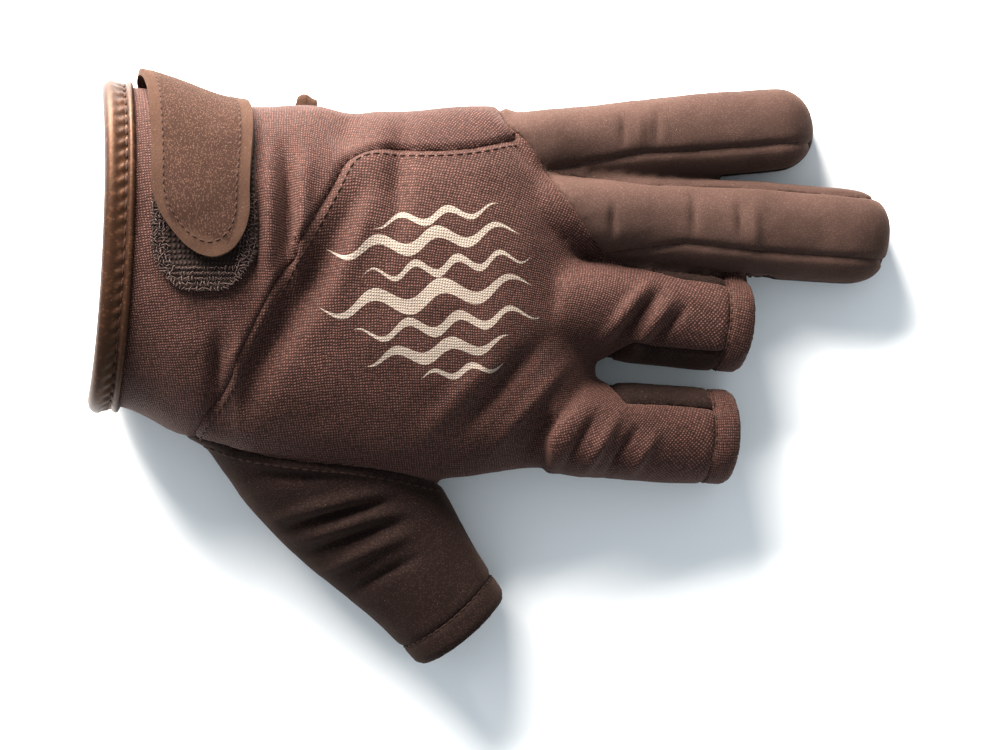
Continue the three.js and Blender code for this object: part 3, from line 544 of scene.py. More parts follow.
# %% Which faces are inside an outline
def inside(outline, x, y):
    """Whether places seen from above are inside an outline."""
    found = np.zeros(len(x), bool)
    for a, b in zip(outline, outline[1:] + outline[:1]):
        crosses = (a.y > y) != (b.y > y)
        with np.errstate(divide="ignore", invalid="ignore"):
            found ^= crosses & (x < (b.x - a.x) * (y - a.y) / (b.y - a.y) + a.x)
    return found


FAR = 0.3
thumb_outline = thumb_line + [Vector((FAR / 2, -FAR / 2, 0)), Vector((-FAR, -FAR, 0)),
                              Vector((-FAR, thumb_line[0].y - HAND_WIDTH / 4, 0))]
thumb_near = [face for face in skin.faces if abs(face.calc_center_median().z - SIDE_SEAM_HEIGHT) < 2 * MM]
centres = np.array([face.calc_center_median()[:] for face in thumb_near])
on_thumb = inside(thumb_outline, centres[:, 0], centres[:, 1])
level = set()
for face, skip in zip(thumb_near, on_thumb):
    if not skip:
        level.add(face)
        level.update(face.verts)
        level.update(face.edges)
bmesh.ops.bisect_plane(skin, geom=list(level), dist=1e-6, plane_co=(0, 0, SIDE_SEAM_HEIGHT), plane_no=(0, 0, 1))
print("level cut at", SIDE_SEAM_HEIGHT / MM, "mm")


# %% Give each face to a panel
def past_arc(finger, back):
    """The outline of all that lies past an arc across a finger."""
    arc = mouth_arc(finger, back)
    out = finger["axis"] * finger["width"]
    return arc + [arc[-1] + out, arc[0] + out]


def fork_outline(fork):
    """Between the two seams of a fork, with the side of the longer finger as far as its tip."""
    ends = sorted((fork["above_line"][-1], fork["below_line"][-1]), key=lambda end: end.x)
    return fork["above_line"] + [Vector((ends[1].x, ends[0].y, 0))] + fork["below_line"][:0:-1]


little_fork, ring_fork = plan_point(FORKS[0]["at"]), plan_point(FORKS[1]["at"])
between_tips, below_ring = FORKS[0]["above_line"][-1], FORKS[1]["above_line"][-1]
corner = Vector((FAR, FAR, 0))
OUTLINES = {
    **{fork["strips"][0]: fork_outline(fork) for fork in FORKS},
    "little_finger_back": [p for p in knuckle_line if p.x <= little_fork.x] + [little_fork, between_tips, corner],
    "ring_finger_back": [little_fork] + [p for p in knuckle_line if p.x > little_fork.x]
    + [ring_fork, below_ring, Vector((FAR, below_ring.y, 0)), corner, between_tips],
    "wrist_panel": wrist_line + [knuckle_line[1], Vector((knuckle_line[0].x, FAR, 0)), Vector((-FAR, FAR, 0)),
                                 Vector((-FAR, -FAR, 0)), Vector((wrist_line[0].x, -FAR, 0))],
}
SECOND_STRIPS = {fork["strips"][1]: fork for fork in FORKS[1:]}
PANELS = ["thumb_sleeve", "palm_panel", *OUTLINES, *SECOND_STRIPS, "back_panel", "middle_hem", "index_hem",
          "thumb_hem", "waste"]
centres = np.array([face.calc_center_median()[:] for face in skin.faces])
x, y, z = centres.T
panel = np.full(len(x), -1)
panel[inside(thumb_outline, x, y)] = PANELS.index("thumb_sleeve")
panel[(panel < 0) & (z < SIDE_SEAM_HEIGHT)] = PANELS.index("palm_panel")
for name, outline in OUTLINES.items():
    panel[(panel < 0) & inside(outline, x, y)] = PANELS.index(name)
panel[panel < 0] = PANELS.index("back_panel")
for name, fork in SECOND_STRIPS.items():
    away = []
    for finger in (FINGERS[fork["above"]], FINGERS[fork["below"]]):
        side = (x - finger["start"].x) * finger["across"].x + (y - finger["start"].y) * finger["across"].y
        away.append(np.abs(side) / finger["width"])
    panel[(panel == PANELS.index(fork["strips"][0])) & (away[1] < away[0])] = PANELS.index(name)
for name in OPEN:
    panel[inside(past_arc(FINGERS[name], HEM_WIDTH), x, y)] = PANELS.index(f"{name}_hem")
for name in OPEN:
    panel[inside(past_arc(FINGERS[name], 0), x, y)] = PANELS.index("waste")
cuff = HAND_SECTIONS[0]
share = (y / HAND_WIDTH - cuff["thumb_side"]) / (cuff["outer_side"] - cuff["thumb_side"])
cuff_edge = (cuff["lean"] * (z / HAND_HEIGHT) ** 2 - cuff["lag"] * share - 0.5) * HAND_LENGTH
panel[x < cuff_edge] = PANELS.index("waste")
owner = skin.faces.layers.int.new("panel")
for face, number in zip(skin.faces, panel):
    face[owner] = int(number)
bmesh.ops.delete(skin, geom=[f for f in skin.faces if f[owner] == PANELS.index("waste")], context="FACES")
print({name: int((panel == number).sum()) for number, name in enumerate(PANELS)})

# %% [markdown]
# ## Draw the seams in
# A sewn seam pulls the cloth in to a narrow groove, and the padding swells between the seams. Every vertex sinks
# by how near it is to a seam. At a hem the line is only stitched, so it sinks less, and the lip rolls in.

# %% Sink the seams and roll the lips
SEAM_DEPTH, SEAM_REACH = 0.95 * MM, 0.9 * MM
HEM_DEPTH, HEM_REACH = 0.5 * MM, 0.8 * MM
LIP_DEPTH, LIP_REACH = 0.9 * MM, 0.9 * MM
SWELL, SWELL_REACH = 0.35 * MM, 5 * MM
hems = {PANELS.index(f"{name}_hem") for name in OPEN}

lines = {"seam": set(), "hem": set(), "lip": set()}
for edge in skin.edges:
    owners = {face[owner] for face in edge.link_faces}
    if len(edge.link_faces) == 1:
        lines["lip"].update(edge.verts)
    elif len(owners) == 2:
        lines["hem" if owners & hems else "seam"].update(edge.verts)
trees = {name: tree_of([vert.co.copy() for vert in verts]) for name, verts in lines.items()}
sunk = []
for vert in skin.verts:
    depth = 0
    for name, deep, reach in (("seam", SEAM_DEPTH, SEAM_REACH), ("hem", HEM_DEPTH, HEM_REACH),
                              ("lip", LIP_DEPTH, LIP_REACH)):
        away = trees[name].find(vert.co)[2]
        depth += deep * math.exp(-(away / reach) ** 2)
    swell = SWELL * (1 - math.exp(-(trees["seam"].find(vert.co)[2] / SWELL_REACH) ** 2))
    floor_free = min(max((vert.co.z - MM) / (4 * MM), 0), 1)
    normal = smooth_normals[smooth_places.find(vert.co)[1]]
    sunk.append(vert.co - normal * (depth - swell) * floor_free)
for vert, point in zip(skin.verts, sunk):
    vert.co = point
surface = BVHTree.FromBMesh(skin)
print({name: len(verts) for name, verts in lines.items()})

# %% [markdown]
# ## Materials
# The effects that several cloths share are node groups: a mesh knit, a soft nap, and the slow change of tone of
# handled cloth. Each puts out only a height or a mask. The shader itself stays in each material.


# %% Small helpers for nodes
def add_node(tree, kind, inputs=None, **settings):
    """Adds a node, links the inputs that are sockets and sets the ones that are values."""
    made = tree.nodes.new(kind)
    for key, value in settings.items():
        setattr(made, key, value)
    for key, value in (inputs or {}).items():
        if isinstance(value, bpy.types.NodeSocket):
            tree.links.new(value, made.inputs[key])
        else:
            made.inputs[key].default_value = value
    return made


def calc(tree, operation, *values, clamp=False):
    """The result of a Math node."""
    return add_node(tree, "ShaderNodeMath", dict(enumerate(values)), operation=operation, use_clamp=clamp).outputs[0]


def new_group(name, inputs, outputs):
    """A shader node group with named inputs and outputs. Gives its tree, its inputs and its output node."""
    tree = bpy.data.node_groups.new(name, "ShaderNodeTree")
    for label, (kind, value) in inputs.items():
        socket = tree.interface.new_socket(label, in_out="INPUT", socket_type=kind)
        if value is not None:
            socket.default_value = value
    for label in outputs:
        tree.interface.new_socket(label, in_out="OUTPUT", socket_type="NodeSocketFloat")
    return tree, tree.nodes.new("NodeGroupInput").outputs, tree.nodes.new("NodeGroupOutput")


# %% Node group: mesh knit
knit_group, given, result = new_group(
    "mesh knit", {"Cloth": ("NodeSocketVector", None), "Pitch": ("NodeSocketFloat", 0.0008)}, ["Height", "Dots"])
waver = add_node(knit_group, "ShaderNodeTexNoise", {"Vector": given["Cloth"], "Scale": 420.0, "Detail": 2.0})
wavered = add_node(knit_group, "ShaderNodeVectorMath", {0: waver.outputs["Color"], 1: (0.0009, 0.0009, 0.0)},
                   operation="MULTIPLY")
cloth_at = add_node(knit_group, "ShaderNodeVectorMath", {0: given["Cloth"], 1: wavered.outputs[0]}, operation="ADD")
axes = add_node(knit_group, "ShaderNodeSeparateXYZ", {0: cloth_at.outputs[0]})
turn = calc(knit_group, "DIVIDE", 2 * math.pi, given["Pitch"])
rib = calc(knit_group, "COSINE", calc(knit_group, "MULTIPLY", axes.outputs["X"], turn))
course = calc(knit_group, "COSINE", calc(knit_group, "MULTIPLY", axes.outputs["Y"], turn))
dots = calc(knit_group, "MULTIPLY", calc(knit_group, "MULTIPLY_ADD", rib, 0.5, 0.5),
            calc(knit_group, "MULTIPLY_ADD", course, 0.5, 0.5))
knit_group.links.new(dots, result.inputs["Height"])
uneven = add_node(knit_group, "ShaderNodeTexNoise", {"Vector": given["Cloth"], "Scale": 1100.0, "Detail": 2.0})
bright = calc(knit_group, "MULTIPLY_ADD", uneven.outputs["Fac"], 4.5, -1.5, clamp=True)
knit_group.links.new(calc(knit_group, "MULTIPLY", calc(knit_group, "POWER", dots, 1.2), bright),
                     result.inputs["Dots"])

# %% Node group: soft nap
nap_group, given, result = new_group(
    "soft nap", {"Cloth": ("NodeSocketVector", None), "Grain": ("NodeSocketFloat", 0.0003)}, ["Height", "Fleck"])
fine = add_node(nap_group, "ShaderNodeTexNoise", {"Vector": given["Cloth"], "Detail": 3.0, "Roughness": 0.7,
                "Scale": calc(nap_group, "DIVIDE", 1.0, given["Grain"])})
cells = add_node(nap_group, "ShaderNodeTexVoronoi", {"Vector": given["Cloth"],
                 "Scale": calc(nap_group, "DIVIDE", 0.7, given["Grain"])})
nap_group.links.new(fine.outputs["Fac"], result.inputs["Height"])
fleck = calc(nap_group, "MULTIPLY", calc(nap_group, "SUBTRACT", 0.45, cells.outputs["Distance"], clamp=True), 2.2)
nap_group.links.new(fleck, result.inputs["Fleck"])

# %% Node group: slow change of tone
tone_group, given, result = new_group(
    "cloth tone", {"Place": ("NodeSocketVector", None), "Size": ("NodeSocketFloat", 0.02)}, ["Tone", "Lint and glint"])
slow = add_node(tone_group, "ShaderNodeTexNoise", {"Vector": given["Place"], "Detail": 4.0, "Roughness": 0.6,
                "Scale": calc(tone_group, "DIVIDE", 1.0, given["Size"])})
# Small pale specks: lint, which also stands in for painted glints of the fibres.
lint = add_node(tone_group, "ShaderNodeTexVoronoi", {"Vector": given["Place"], "Scale": 520.0, "Randomness": 1.0})
tone_group.links.new(slow.outputs["Fac"], result.inputs["Tone"])
tone_group.links.new(calc(tone_group, "LESS_THAN", lint.outputs["Distance"], 0.05), result.inputs["Lint and glint"])
print("node groups:", [group.name for group in (knit_group, nap_group, tone_group)])


# %% The cloth materials
TONE_SIZE, RIM_SHARE, BUMP_STRENGTH = 0.018, 0.7, 0.8
LINT_AND_GLINT_SHARE, LINT_AND_GLINT_COLOUR = 0.15, (0.5, 0.4, 0.36)


def start_material(name, roughness, sheen, sheen_tint, specular):
    """A material with its plain values set. Gives its tree, its shader and its coordinates too."""
    material = bpy.data.materials.new(name)
    material.use_nodes = True
    tree = material.node_tree
    shader = tree.nodes["Principled BSDF"]
    shader.inputs["Roughness"].default_value = roughness
    shader.inputs["Sheen Weight"].default_value = sheen
    shader.inputs["Sheen Roughness"].default_value = 0.45
    shader.inputs["Sheen Tint"].default_value = (*sheen_tint, 1)
    shader.inputs["Specular IOR Level"].default_value = specular
    shader.inputs["Specular Tint"].default_value = (*sheen_tint, 1)
    place = add_node(tree, "ShaderNodeTexCoord")
    return material, tree, shader, place


def mix_colour(tree, factor, dark, light):
    """A colour between two others, each a colour or a socket."""
    made = add_node(tree, "ShaderNodeMix", data_type="RGBA")
    tree.links.new(factor, made.inputs["Factor"])
    for key, value in ((6, dark), (7, light)):
        if isinstance(value, bpy.types.NodeSocket):
            tree.links.new(value, made.inputs[key])
        else:
            made.inputs[key].default_value = (*value, 1)
    return made.outputs[2]


def cloth_material(name, dark, light, pattern, pitch, depth, roughness, sheen, sheen_tint, specular=0.2, rim=None):
    """A cloth of two colours in a pattern, with relief, a slow change of tone, pale specks of lint and painted
    glints, and maybe a darker rim.
    """
    material, tree, shader, place = start_material(name, roughness, sheen, sheen_tint, specular)
    pitch_input = "Pitch" if pattern is knit_group else "Grain"
    relief = add_node(tree, "ShaderNodeGroup", {"Cloth": place.outputs["UV"], pitch_input: pitch}, node_tree=pattern)
    tone = add_node(tree, "ShaderNodeGroup", {"Place": place.outputs["Object"], "Size": TONE_SIZE},
                    node_tree=tone_group)
    mark = relief.outputs[1]
    colour = mix_colour(tree, mark, dark, light)
    if rim:
        at_rim = add_node(tree, "ShaderNodeAttribute", attribute_name="rim")
        near_rim = calc(tree, "MULTIPLY", at_rim.outputs["Fac"], RIM_SHARE)
        colour = mix_colour(tree, near_rim, colour, rim)
    shade = calc(tree, "MULTIPLY_ADD", tone.outputs["Tone"], 0.9, 0.55)
    toned = add_node(tree, "ShaderNodeVectorMath", {0: colour}, operation="SCALE")
    tree.links.new(shade, toned.inputs["Scale"])
    # Pale specks over the colour: lint, and also painted glints of the fibres.
    speck = calc(tree, "MULTIPLY", tone.outputs["Lint and glint"], LINT_AND_GLINT_SHARE)
    with_lint_and_glints = mix_colour(tree, speck, toned.outputs[0], LINT_AND_GLINT_COLOUR)
    tree.links.new(with_lint_and_glints, shader.inputs["Base Color"])
    bump = add_node(tree, "ShaderNodeBump",
                    {"Height": relief.outputs[0], "Strength": BUMP_STRENGTH, "Distance": depth})
    tree.links.new(bump.outputs[0], shader.inputs["Normal"])
    return material


CLOTHS = {
    "mesh knit": dict(dark=(0.014, 0.007, 0.006), light=(0.125, 0.056, 0.045), pattern=knit_group, pitch=0.00064,
                      depth=0.00018, roughness=0.7, sheen=0.1, sheen_tint=(0.9, 0.5, 0.4)),
    # One fleece in two copies. This darker one is painted shade, for the thumb, the palm and the open fingers'
    # strips.
    "painted shaded fleece": dict(dark=(0.008, 0.005, 0.0045), light=(0.036, 0.021, 0.018), pattern=nap_group, pitch=0.00028,
                         depth=0.00012, roughness=0.85, sheen=0.08, sheen_tint=(0.9, 0.55, 0.42), specular=0.1),
    # This lighter copy of the same fleece is painted light, for the closed fingers that the light reaches most.
    "painted lit fleece": dict(dark=(0.041, 0.0235, 0.019), light=(0.076, 0.045, 0.037), pattern=nap_group,
                          pitch=0.00028, depth=0.00012, roughness=0.85, sheen=0.1, sheen_tint=(0.9, 0.55, 0.42),
                          specular=0.1),
    "strap suede": dict(dark=(0.019, 0.0095, 0.007), light=(0.082, 0.044, 0.031), pattern=nap_group, pitch=0.00034,
                        depth=0.00014, roughness=0.9, sheen=0.08, sheen_tint=(0.9, 0.55, 0.4), specular=0.1,
                        rim=(0.043, 0.023, 0.0155)),
    "loop pile": dict(dark=(0.005, 0.0035, 0.003), light=(0.035, 0.021, 0.018), pattern=knit_group, pitch=0.0013,
                      depth=0.0006, roughness=0.8, sheen=0.1, sheen_tint=(0.8, 0.55, 0.48)),
    # The rim loops' yarn is the pile's yarn painted lighter: painted light where the loops catch the light at the
    # rim.
    "painted lit loop yarn": dict(dark=(0.03, 0.018, 0.016), light=(0.10, 0.064, 0.056), pattern=nap_group, pitch=0.0004,
                      depth=0.00004, roughness=0.7, sheen=0.2, sheen_tint=(1.0, 0.75, 0.68)),
    "binding leather": dict(dark=(0.014, 0.0055, 0.003), light=(0.045, 0.018, 0.009), pattern=nap_group,
                            pitch=0.0009, depth=0.0001, roughness=0.45, sheen=0.0, sheen_tint=(1.0, 0.55, 0.34),
                            specular=0.35),
    "thread": dict(dark=(0.012, 0.006, 0.005), light=(0.06, 0.03, 0.023), pattern=nap_group, pitch=0.0004,
                   depth=0.00005, roughness=0.7, sheen=0.15, sheen_tint=(0.9, 0.55, 0.42)),
}
knit, fleece, painted_lit_fleece, suede, loop_pile, painted_lit_loop_yarn, leather, thread = (
    cloth_material(name, **look) for name, look in CLOTHS.items())
print("materials:", [m.name for m in (knit, fleece, painted_lit_fleece, suede, loop_pile, painted_lit_loop_yarn, leather, thread)])

# %% [markdown]
# The back carries a light print. This one is a plain pattern of waves: each wave is a line that swings from side
# to side and tapers to both ends. One node group draws a wave, and the printed cloth places it once for each row
# of a table, in millimetres from the middle of the print.

# %% Node group: one printed wave
wave_group, given, result = new_group(
    "printed wave", {"Place": ("NodeSocketVector", None), "Middle X": ("NodeSocketFloat", 0.0),
                     "Middle Y": ("NodeSocketFloat", 0.0), "Reach": ("NodeSocketFloat", 0.02),
                     "Swing": ("NodeSocketFloat", 0.001), "Length": ("NodeSocketFloat", 0.012),
                     "Thick": ("NodeSocketFloat", 0.001)}, ["Mask"])
axes = add_node(wave_group, "ShaderNodeSeparateXYZ", {0: given["Place"]})
run = calc(wave_group, "SUBTRACT", axes.outputs["X"], given["Middle X"])
turn = calc(wave_group, "MULTIPLY", calc(wave_group, "DIVIDE", run, given["Length"]), 2 * math.pi)
line = calc(wave_group, "MULTIPLY_ADD", calc(wave_group, "SINE", turn), given["Swing"], given["Middle Y"])
away = calc(wave_group, "ABSOLUTE", calc(wave_group, "SUBTRACT", axes.outputs["Y"], line))
share = calc(wave_group, "DIVIDE", run, given["Reach"])
taper = calc(wave_group, "SUBTRACT", 1.0, calc(wave_group, "MULTIPLY", share, share), clamp=True)
wave_group.links.new(calc(wave_group, "LESS_THAN", away, calc(wave_group, "MULTIPLY", taper, given["Thick"])),
                     result.inputs["Mask"])

# %% The printed cloth
PRINT_MIDDLE, PRINT_TURN, INK = (21.5 * MM, -6.5 * MM), math.radians(-8), (0.27, 0.225, 0.185)
WAVES = [
    dict(across=3, up=17, reach=15, swing=1.3, length=11, thick=0.9),
    dict(across=-1, up=11.5, reach=23, swing=1.7, length=14, thick=1.5),
    dict(across=4, up=5, reach=20, swing=1.5, length=10, thick=1.0),
    dict(across=-2, up=-1.5, reach=25, swing=2.0, length=16, thick=1.9),
    dict(across=2, up=-8.5, reach=22, swing=1.6, length=12, thick=1.2),
    dict(across=-1, up=-14.5, reach=17, swing=1.4, length=13, thick=1.5),
    dict(across=4, up=-20, reach=10, swing=1.0, length=9, thick=0.8),
]


def print_on(material, ink):
    """Prints the waves over a cloth's colour."""
    printed = material.copy()
    printed.name = "printed " + material.name
    tree = printed.node_tree
    shader = tree.nodes["Principled BSDF"]
    cloth_colour = shader.inputs["Base Color"].links[0].from_socket
    knit_dots = next(node for node in tree.nodes if getattr(node, "node_tree", None) is knit_group).outputs["Dots"]
    place = add_node(tree, "ShaderNodeTexCoord").outputs["Object"]
    there = add_node(tree, "ShaderNodeVectorRotate", {"Vector": place, "Center": (*PRINT_MIDDLE, 0),
                     "Angle": PRINT_TURN}, rotation_type="Z_AXIS")
    mask = 0.0
    for wave in WAVES:
        drawn = add_node(tree, "ShaderNodeGroup", {
            "Place": there.outputs[0], "Middle X": PRINT_MIDDLE[0] + wave["across"] * MM,
            "Middle Y": PRINT_MIDDLE[1] + wave["up"] * MM, "Reach": wave["reach"] * MM, "Swing": wave["swing"] * MM,
            "Length": wave["length"] * MM, "Thick": wave["thick"] * MM}, node_tree=wave_group)
        mask = calc(tree, "MAXIMUM", mask, drawn.outputs["Mask"])
    mask = calc(tree, "MULTIPLY", mask, calc(tree, "MULTIPLY_ADD", knit_dots, 0.3, 0.7))
    tree.links.new(mix_colour(tree, mask, cloth_colour, ink), shader.inputs["Base Color"])
    return printed


printed_knit = print_on(knit, INK)
print("printed cloth:", printed_knit.name, "with", len(WAVES), "waves")

# %% [markdown]
# ## The panels
# Each panel is copied out of the skin, laid flat by Blender's unwrap to give the cloth its own straight grain,
# and given its thickness inwards by a Solidify modifier. The flat pattern is scaled to metres, so that one
# stitch of the knit is as large on every panel.


# %% Lay a panel flat
def lay_flat(made):
    """Unwraps a panel, scales the pattern to metres and turns its grain along the hand."""
    bpy.ops.object.select_all(action="DESELECT")
    bpy.context.view_layer.objects.active = made
    made.select_set(True)
    made.data.uv_layers.new(name="cloth")
    bpy.ops.object.mode_set(mode="EDIT")
    bpy.ops.mesh.select_all(action="SELECT")
    bpy.ops.uv.unwrap(method="MINIMUM_STRETCH", iterations=4, margin=0.0)
    bpy.ops.object.mode_set(mode="OBJECT")
    made.select_set(False)
    mesh = made.data
    flat = np.empty(len(mesh.loops) * 2)
    mesh.uv_layers["cloth"].uv.foreach_get("vector", flat)
    flat = flat.reshape(-1, 2)
    corners = np.array([mesh.vertices[loop.vertex_index].co[:2] for loop in mesh.loops])
    ground = sum(p.area for p in mesh.polygons)
    shoelace = 0.0
    for p in mesh.polygons:
        ring = flat[p.loop_start:p.loop_start + p.loop_total]
        after = np.roll(ring, -1, axis=0)
        shoelace += abs(float((ring[:, 0] * after[:, 1] - after[:, 0] * ring[:, 1]).sum())) / 2
    size = math.sqrt(ground / max(shoelace, 1e-12))
    a = flat - flat.mean(axis=0)
    b = corners - corners.mean(axis=0)
    spin = math.atan2(float((a[:, 0] * b[:, 1] - a[:, 1] * b[:, 0]).sum()), float((a * b).sum()))
    c, s = math.cos(spin) * size, math.sin(spin) * size
    flat = a @ np.array([[c, s], [-s, c]])
    mesh.uv_layers["cloth"].uv.foreach_set("vector", flat.ravel())
    span = flat.max(axis=0) - flat.min(axis=0)
    return ground, float(span[0]), float(span[1])


def open_underneath(bm, finger):
    """Marks a seam along the underside of a finger's tube, so that it can be laid flat."""
    geom = list(bm.verts) + list(bm.edges) + list(bm.faces)
    cut = bmesh.ops.bisect_plane(bm, geom=geom, dist=1e-6, plane_co=finger["start"], plane_no=finger["across"])
    middle = finger["height"] * 0.4
    for edge in cut["geom_cut"]:
        if isinstance(edge, bmesh.types.BMEdge) and all(v.co.z < middle for v in edge.verts):
            edge.seam = True


# %% Make every panel
SMALLEST_BLANK = 10 * MM
FILLED_AT_LEAST = 0.4
# The closed fingers and their strips get the lighter fleece, with painted light; other fleece panels the darker one,
# with painted shade.
MATERIALS = {"wrist_panel": (knit, "knit"), "back_panel": (printed_knit, "knit"), "middle_hem": (knit, "knit"),
             "index_hem": (knit, "knit"), "little_finger_back": (painted_lit_fleece, "fleece"),
             "ring_finger_back": (painted_lit_fleece, "fleece"), "little_ring_strip": (painted_lit_fleece, "fleece"),
             "ring_lower_strip": (painted_lit_fleece, "fleece")}
for number, name in enumerate(PANELS[:-1]):
    part = skin.copy()
    layer = part.faces.layers.int["panel"]
    bmesh.ops.delete(part, geom=[face for face in part.faces if face[layer] != number], context="FACES")
    finger = FINGERS.get(name.split("_")[0])
    if name == "thumb_sleeve" or name.endswith("_hem"):
        open_underneath(part, finger)
    for face in part.faces:
        face.smooth = True
    piece = object_from(part, f"{name}_cloth")
    part.free()
    area, *spans = lay_flat(piece)
    wide, long = (max(span, SMALLEST_BLANK) for span in sorted(spans))
    if area < FILLED_AT_LEAST * wide * long:
        wide = max(area / long, SMALLEST_BLANK)
    wall = piece.modifiers.new("wall", "SOLIDIFY")
    wall.thickness = HEM_WALL if name.endswith("_hem") else CLOTH
    wall.offset = -1
    finish, slot = MATERIALS.get(name, (fleece, "fleece"))
    piece.data.materials.append(finish)
    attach(piece, "root")
    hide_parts(name)
    print(f"{name}: area {area / MM ** 2 / 100:.1f} cm2, cut from {wide / MM:.0f} x {long / MM:.0f} mm")

# %% [markdown]
# ## Binding, strap, loop patch and tab
# The trims are modelled directly. The binding is a padded strip folded over the cuff's edge: its section is
# carried round the cuff, ring by ring. The strap, the loop patch and the tab are grids with a wall. The first two
# are laid on the cloth by a ray, and the tab is bent round its own fold.


# %% Out of the cloth
def hand_frame(along, angle):
    """A point of the hand's tube and the direction out of it, square to its run."""
    point = hand_point(along, angle)
    ahead = hand_point(along, angle + 0.02) - hand_point(along, angle - 0.02)
    out = Vector((0, ahead.z, -ahead.y)).normalized()
    if point.z <= CUFF_LIFT + 1e-5 and math.sin(angle) < 0:
        out = Vector((0, 0, -1))
    return point, out


def on_cloth(point, out, lift):
    """Where a line square to the hand meets the cloth, lifted by so much."""
    hit = surface.ray_cast(point + out * 12 * MM, -out, 24 * MM)[0]
    return (hit or point) + out * lift


# %% The cuff binding
BINDING_WALL = 1.5 * MM
OUTER = FIT_GAP + BINDING_WALL
INNER = -CLOTH - FIT_GAP - BINDING_WALL
BINDING_SECTION = [
    (5.4, OUTER - 1.45 * MM), (5.5, OUTER - 0.7 * MM), (5.2, OUTER - 0.15 * MM), (4.7, OUTER + 0.1 * MM),
    (4.2, OUTER - 0.05 * MM), (3.8, OUTER - 0.5 * MM), (3.4, OUTER - 1.05 * MM), (3.0, OUTER - 0.75 * MM),
    (2.5, OUTER - 0.55 * MM), (1.9, OUTER - 0.35 * MM), (1.3, OUTER - 0.05 * MM), (0.7, OUTER + 0.35 * MM),
    (-0.2, OUTER + 0.45 * MM), (-1.0, OUTER + 0.1 * MM), (-1.7, OUTER - 0.7 * MM), (-2.1, -0.5 * MM),
    (-2.1, -1.3 * MM), (-1.6, INNER + 0.9 * MM), (-0.7, INNER + 0.15 * MM), (0.6, INNER - 0.1 * MM),
    (2.4, INNER), (2.9, INNER + 0.4 * MM), (3.4, INNER), (5.2, INNER + 0.1 * MM), (5.4, INNER + 1.3 * MM),
    (2.0, -CLOTH - 0.15 * MM), (-0.45, -CLOTH - 0.1 * MM), (-0.45, 0.1 * MM), (2.0, 0.15 * MM),
]
STITCH_LINE = 3.4
STITCH_PITCH = 3 * MM
PUCKER, WANDER = 0.3 * MM, 0.25 * MM
BINDING_RINGS = 360
cuff_rim = [hand_point(0, 2 * math.pi * i / BINDING_RINGS) for i in range(BINDING_RINGS)]
round_cuff = np.cumsum([0.0] + [(b - a).length for a, b in zip(cuff_rim, cuff_rim[1:])])
stitches_round = round(float(round_cuff[-1]) / STITCH_PITCH)
rings = []
for i in range(BINDING_RINGS):
    angle = 2 * math.pi * i / BINDING_RINGS
    phase = 2 * math.pi * stitches_round * float(round_cuff[i]) / float(round_cuff[-1])
    ring = []
    for along, out in BINDING_SECTION:
        point, away = hand_frame(max(along * MM, 0) / HAND_LENGTH, angle)
        near_stitch = math.exp(-((along - STITCH_LINE + 0.8) / 0.95) ** 2) if out > 0 else 0
        pucker = PUCKER * math.cos(phase + 1.2 * (along - STITCH_LINE)) * near_stitch
        wander = WANDER * noise.noise(Vector((math.cos(angle) * 3, math.sin(angle) * 3, along * 0.2)))
        wander *= 1 if out > 0.5 * MM else 0
        drop = point + away * (out + pucker + wander) + Vector((min(along, 0) * MM, 0, 0))
        ring.append(Vector((drop.x, drop.y, max(drop.z, 0))))
    rings.append(ring)
binding_mesh = bmesh.new()
tube(binding_mesh, rings, closed=True)
bmesh.ops.remove_doubles(binding_mesh, verts=binding_mesh.verts, dist=1e-6)
bmesh.ops.recalc_face_normals(binding_mesh, faces=binding_mesh.faces)
uv = binding_mesh.loops.layers.uv.new("cloth")
for face in binding_mesh.faces:
    face.smooth = True
    for loop in face.loops:
        loop[uv].uv = (loop.vert.co.x, math.atan2(loop.vert.co.z - 0.022, loop.vert.co.y) * 0.03)
binding = object_from(binding_mesh, "cuff_binding_roll")
binding_mesh.free()
binding.data.materials.append(leather)
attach(binding, "root")
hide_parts("cuff_binding")
print("binding:", stitches_round, "stitches round the cuff")

# %% Sheets laid over the wrist
STRAP_TIP, TIP_AT, TIP_BLUNT = 0.15, 0.48, 2.1
STITCH_INSET = 3.3 * MM
STRAP_WIDTH = 30 * MM
STRAP_THICKNESS = 1.7 * MM
STRAP_SPRING = 3 * MM
STRAP_SKEW = 3.4 * MM
STRAP_ALONG, STRAP_FROM, STRAP_TO = 0.0775, -24, 88
PATCH_WIDTH, PATCH_LENGTH, PATCH_FROM = 30.2 * MM, 37 * MM, 0.33
PATCH_THICKNESS = 1 * MM


def strap_at(reach, width, lift=0.0):
    """A point of the strap, from the shares of its run and of its width."""
    skew = STRAP_SKEW * math.exp(-((reach - 0.2) / 0.2) ** 2)
    along = STRAP_ALONG + (width * STRAP_WIDTH - skew) / HAND_LENGTH
    point, out = hand_frame(along, math.radians(STRAP_FROM + (STRAP_TO - STRAP_FROM) * reach))
    on_patch = smooth_step(reach, 0.3, 0.6)
    fold = math.exp(-((reach - 0.34) / 0.16) ** 2)
    off = FIT_GAP + 1.6 * MM * on_patch + STRAP_SPRING * fold * (1 - width)
    return on_cloth(point, out, off + lift)


def strap_edges(reach):
    """The strap's two edges as shares of its width. They close in a round tip."""
    into_tip = max(1 - (1 - reach) / STRAP_TIP, 0)
    left = max((1 - into_tip ** TIP_BLUNT) ** (1 / TIP_BLUNT), 0.04)
    hand_edge = 1 - 0.06 * smooth_step(reach, 0.55, 0.9)
    return TIP_AT * (1 - left), TIP_AT + (hand_edge - TIP_AT) * left


def strap_place(reach, share, lift=0.0):
    """A point of the strap, from the shares of its run and of the room between its edges."""
    low, high = strap_edges(reach)
    return strap_at(reach, low + (high - low) * share, lift)


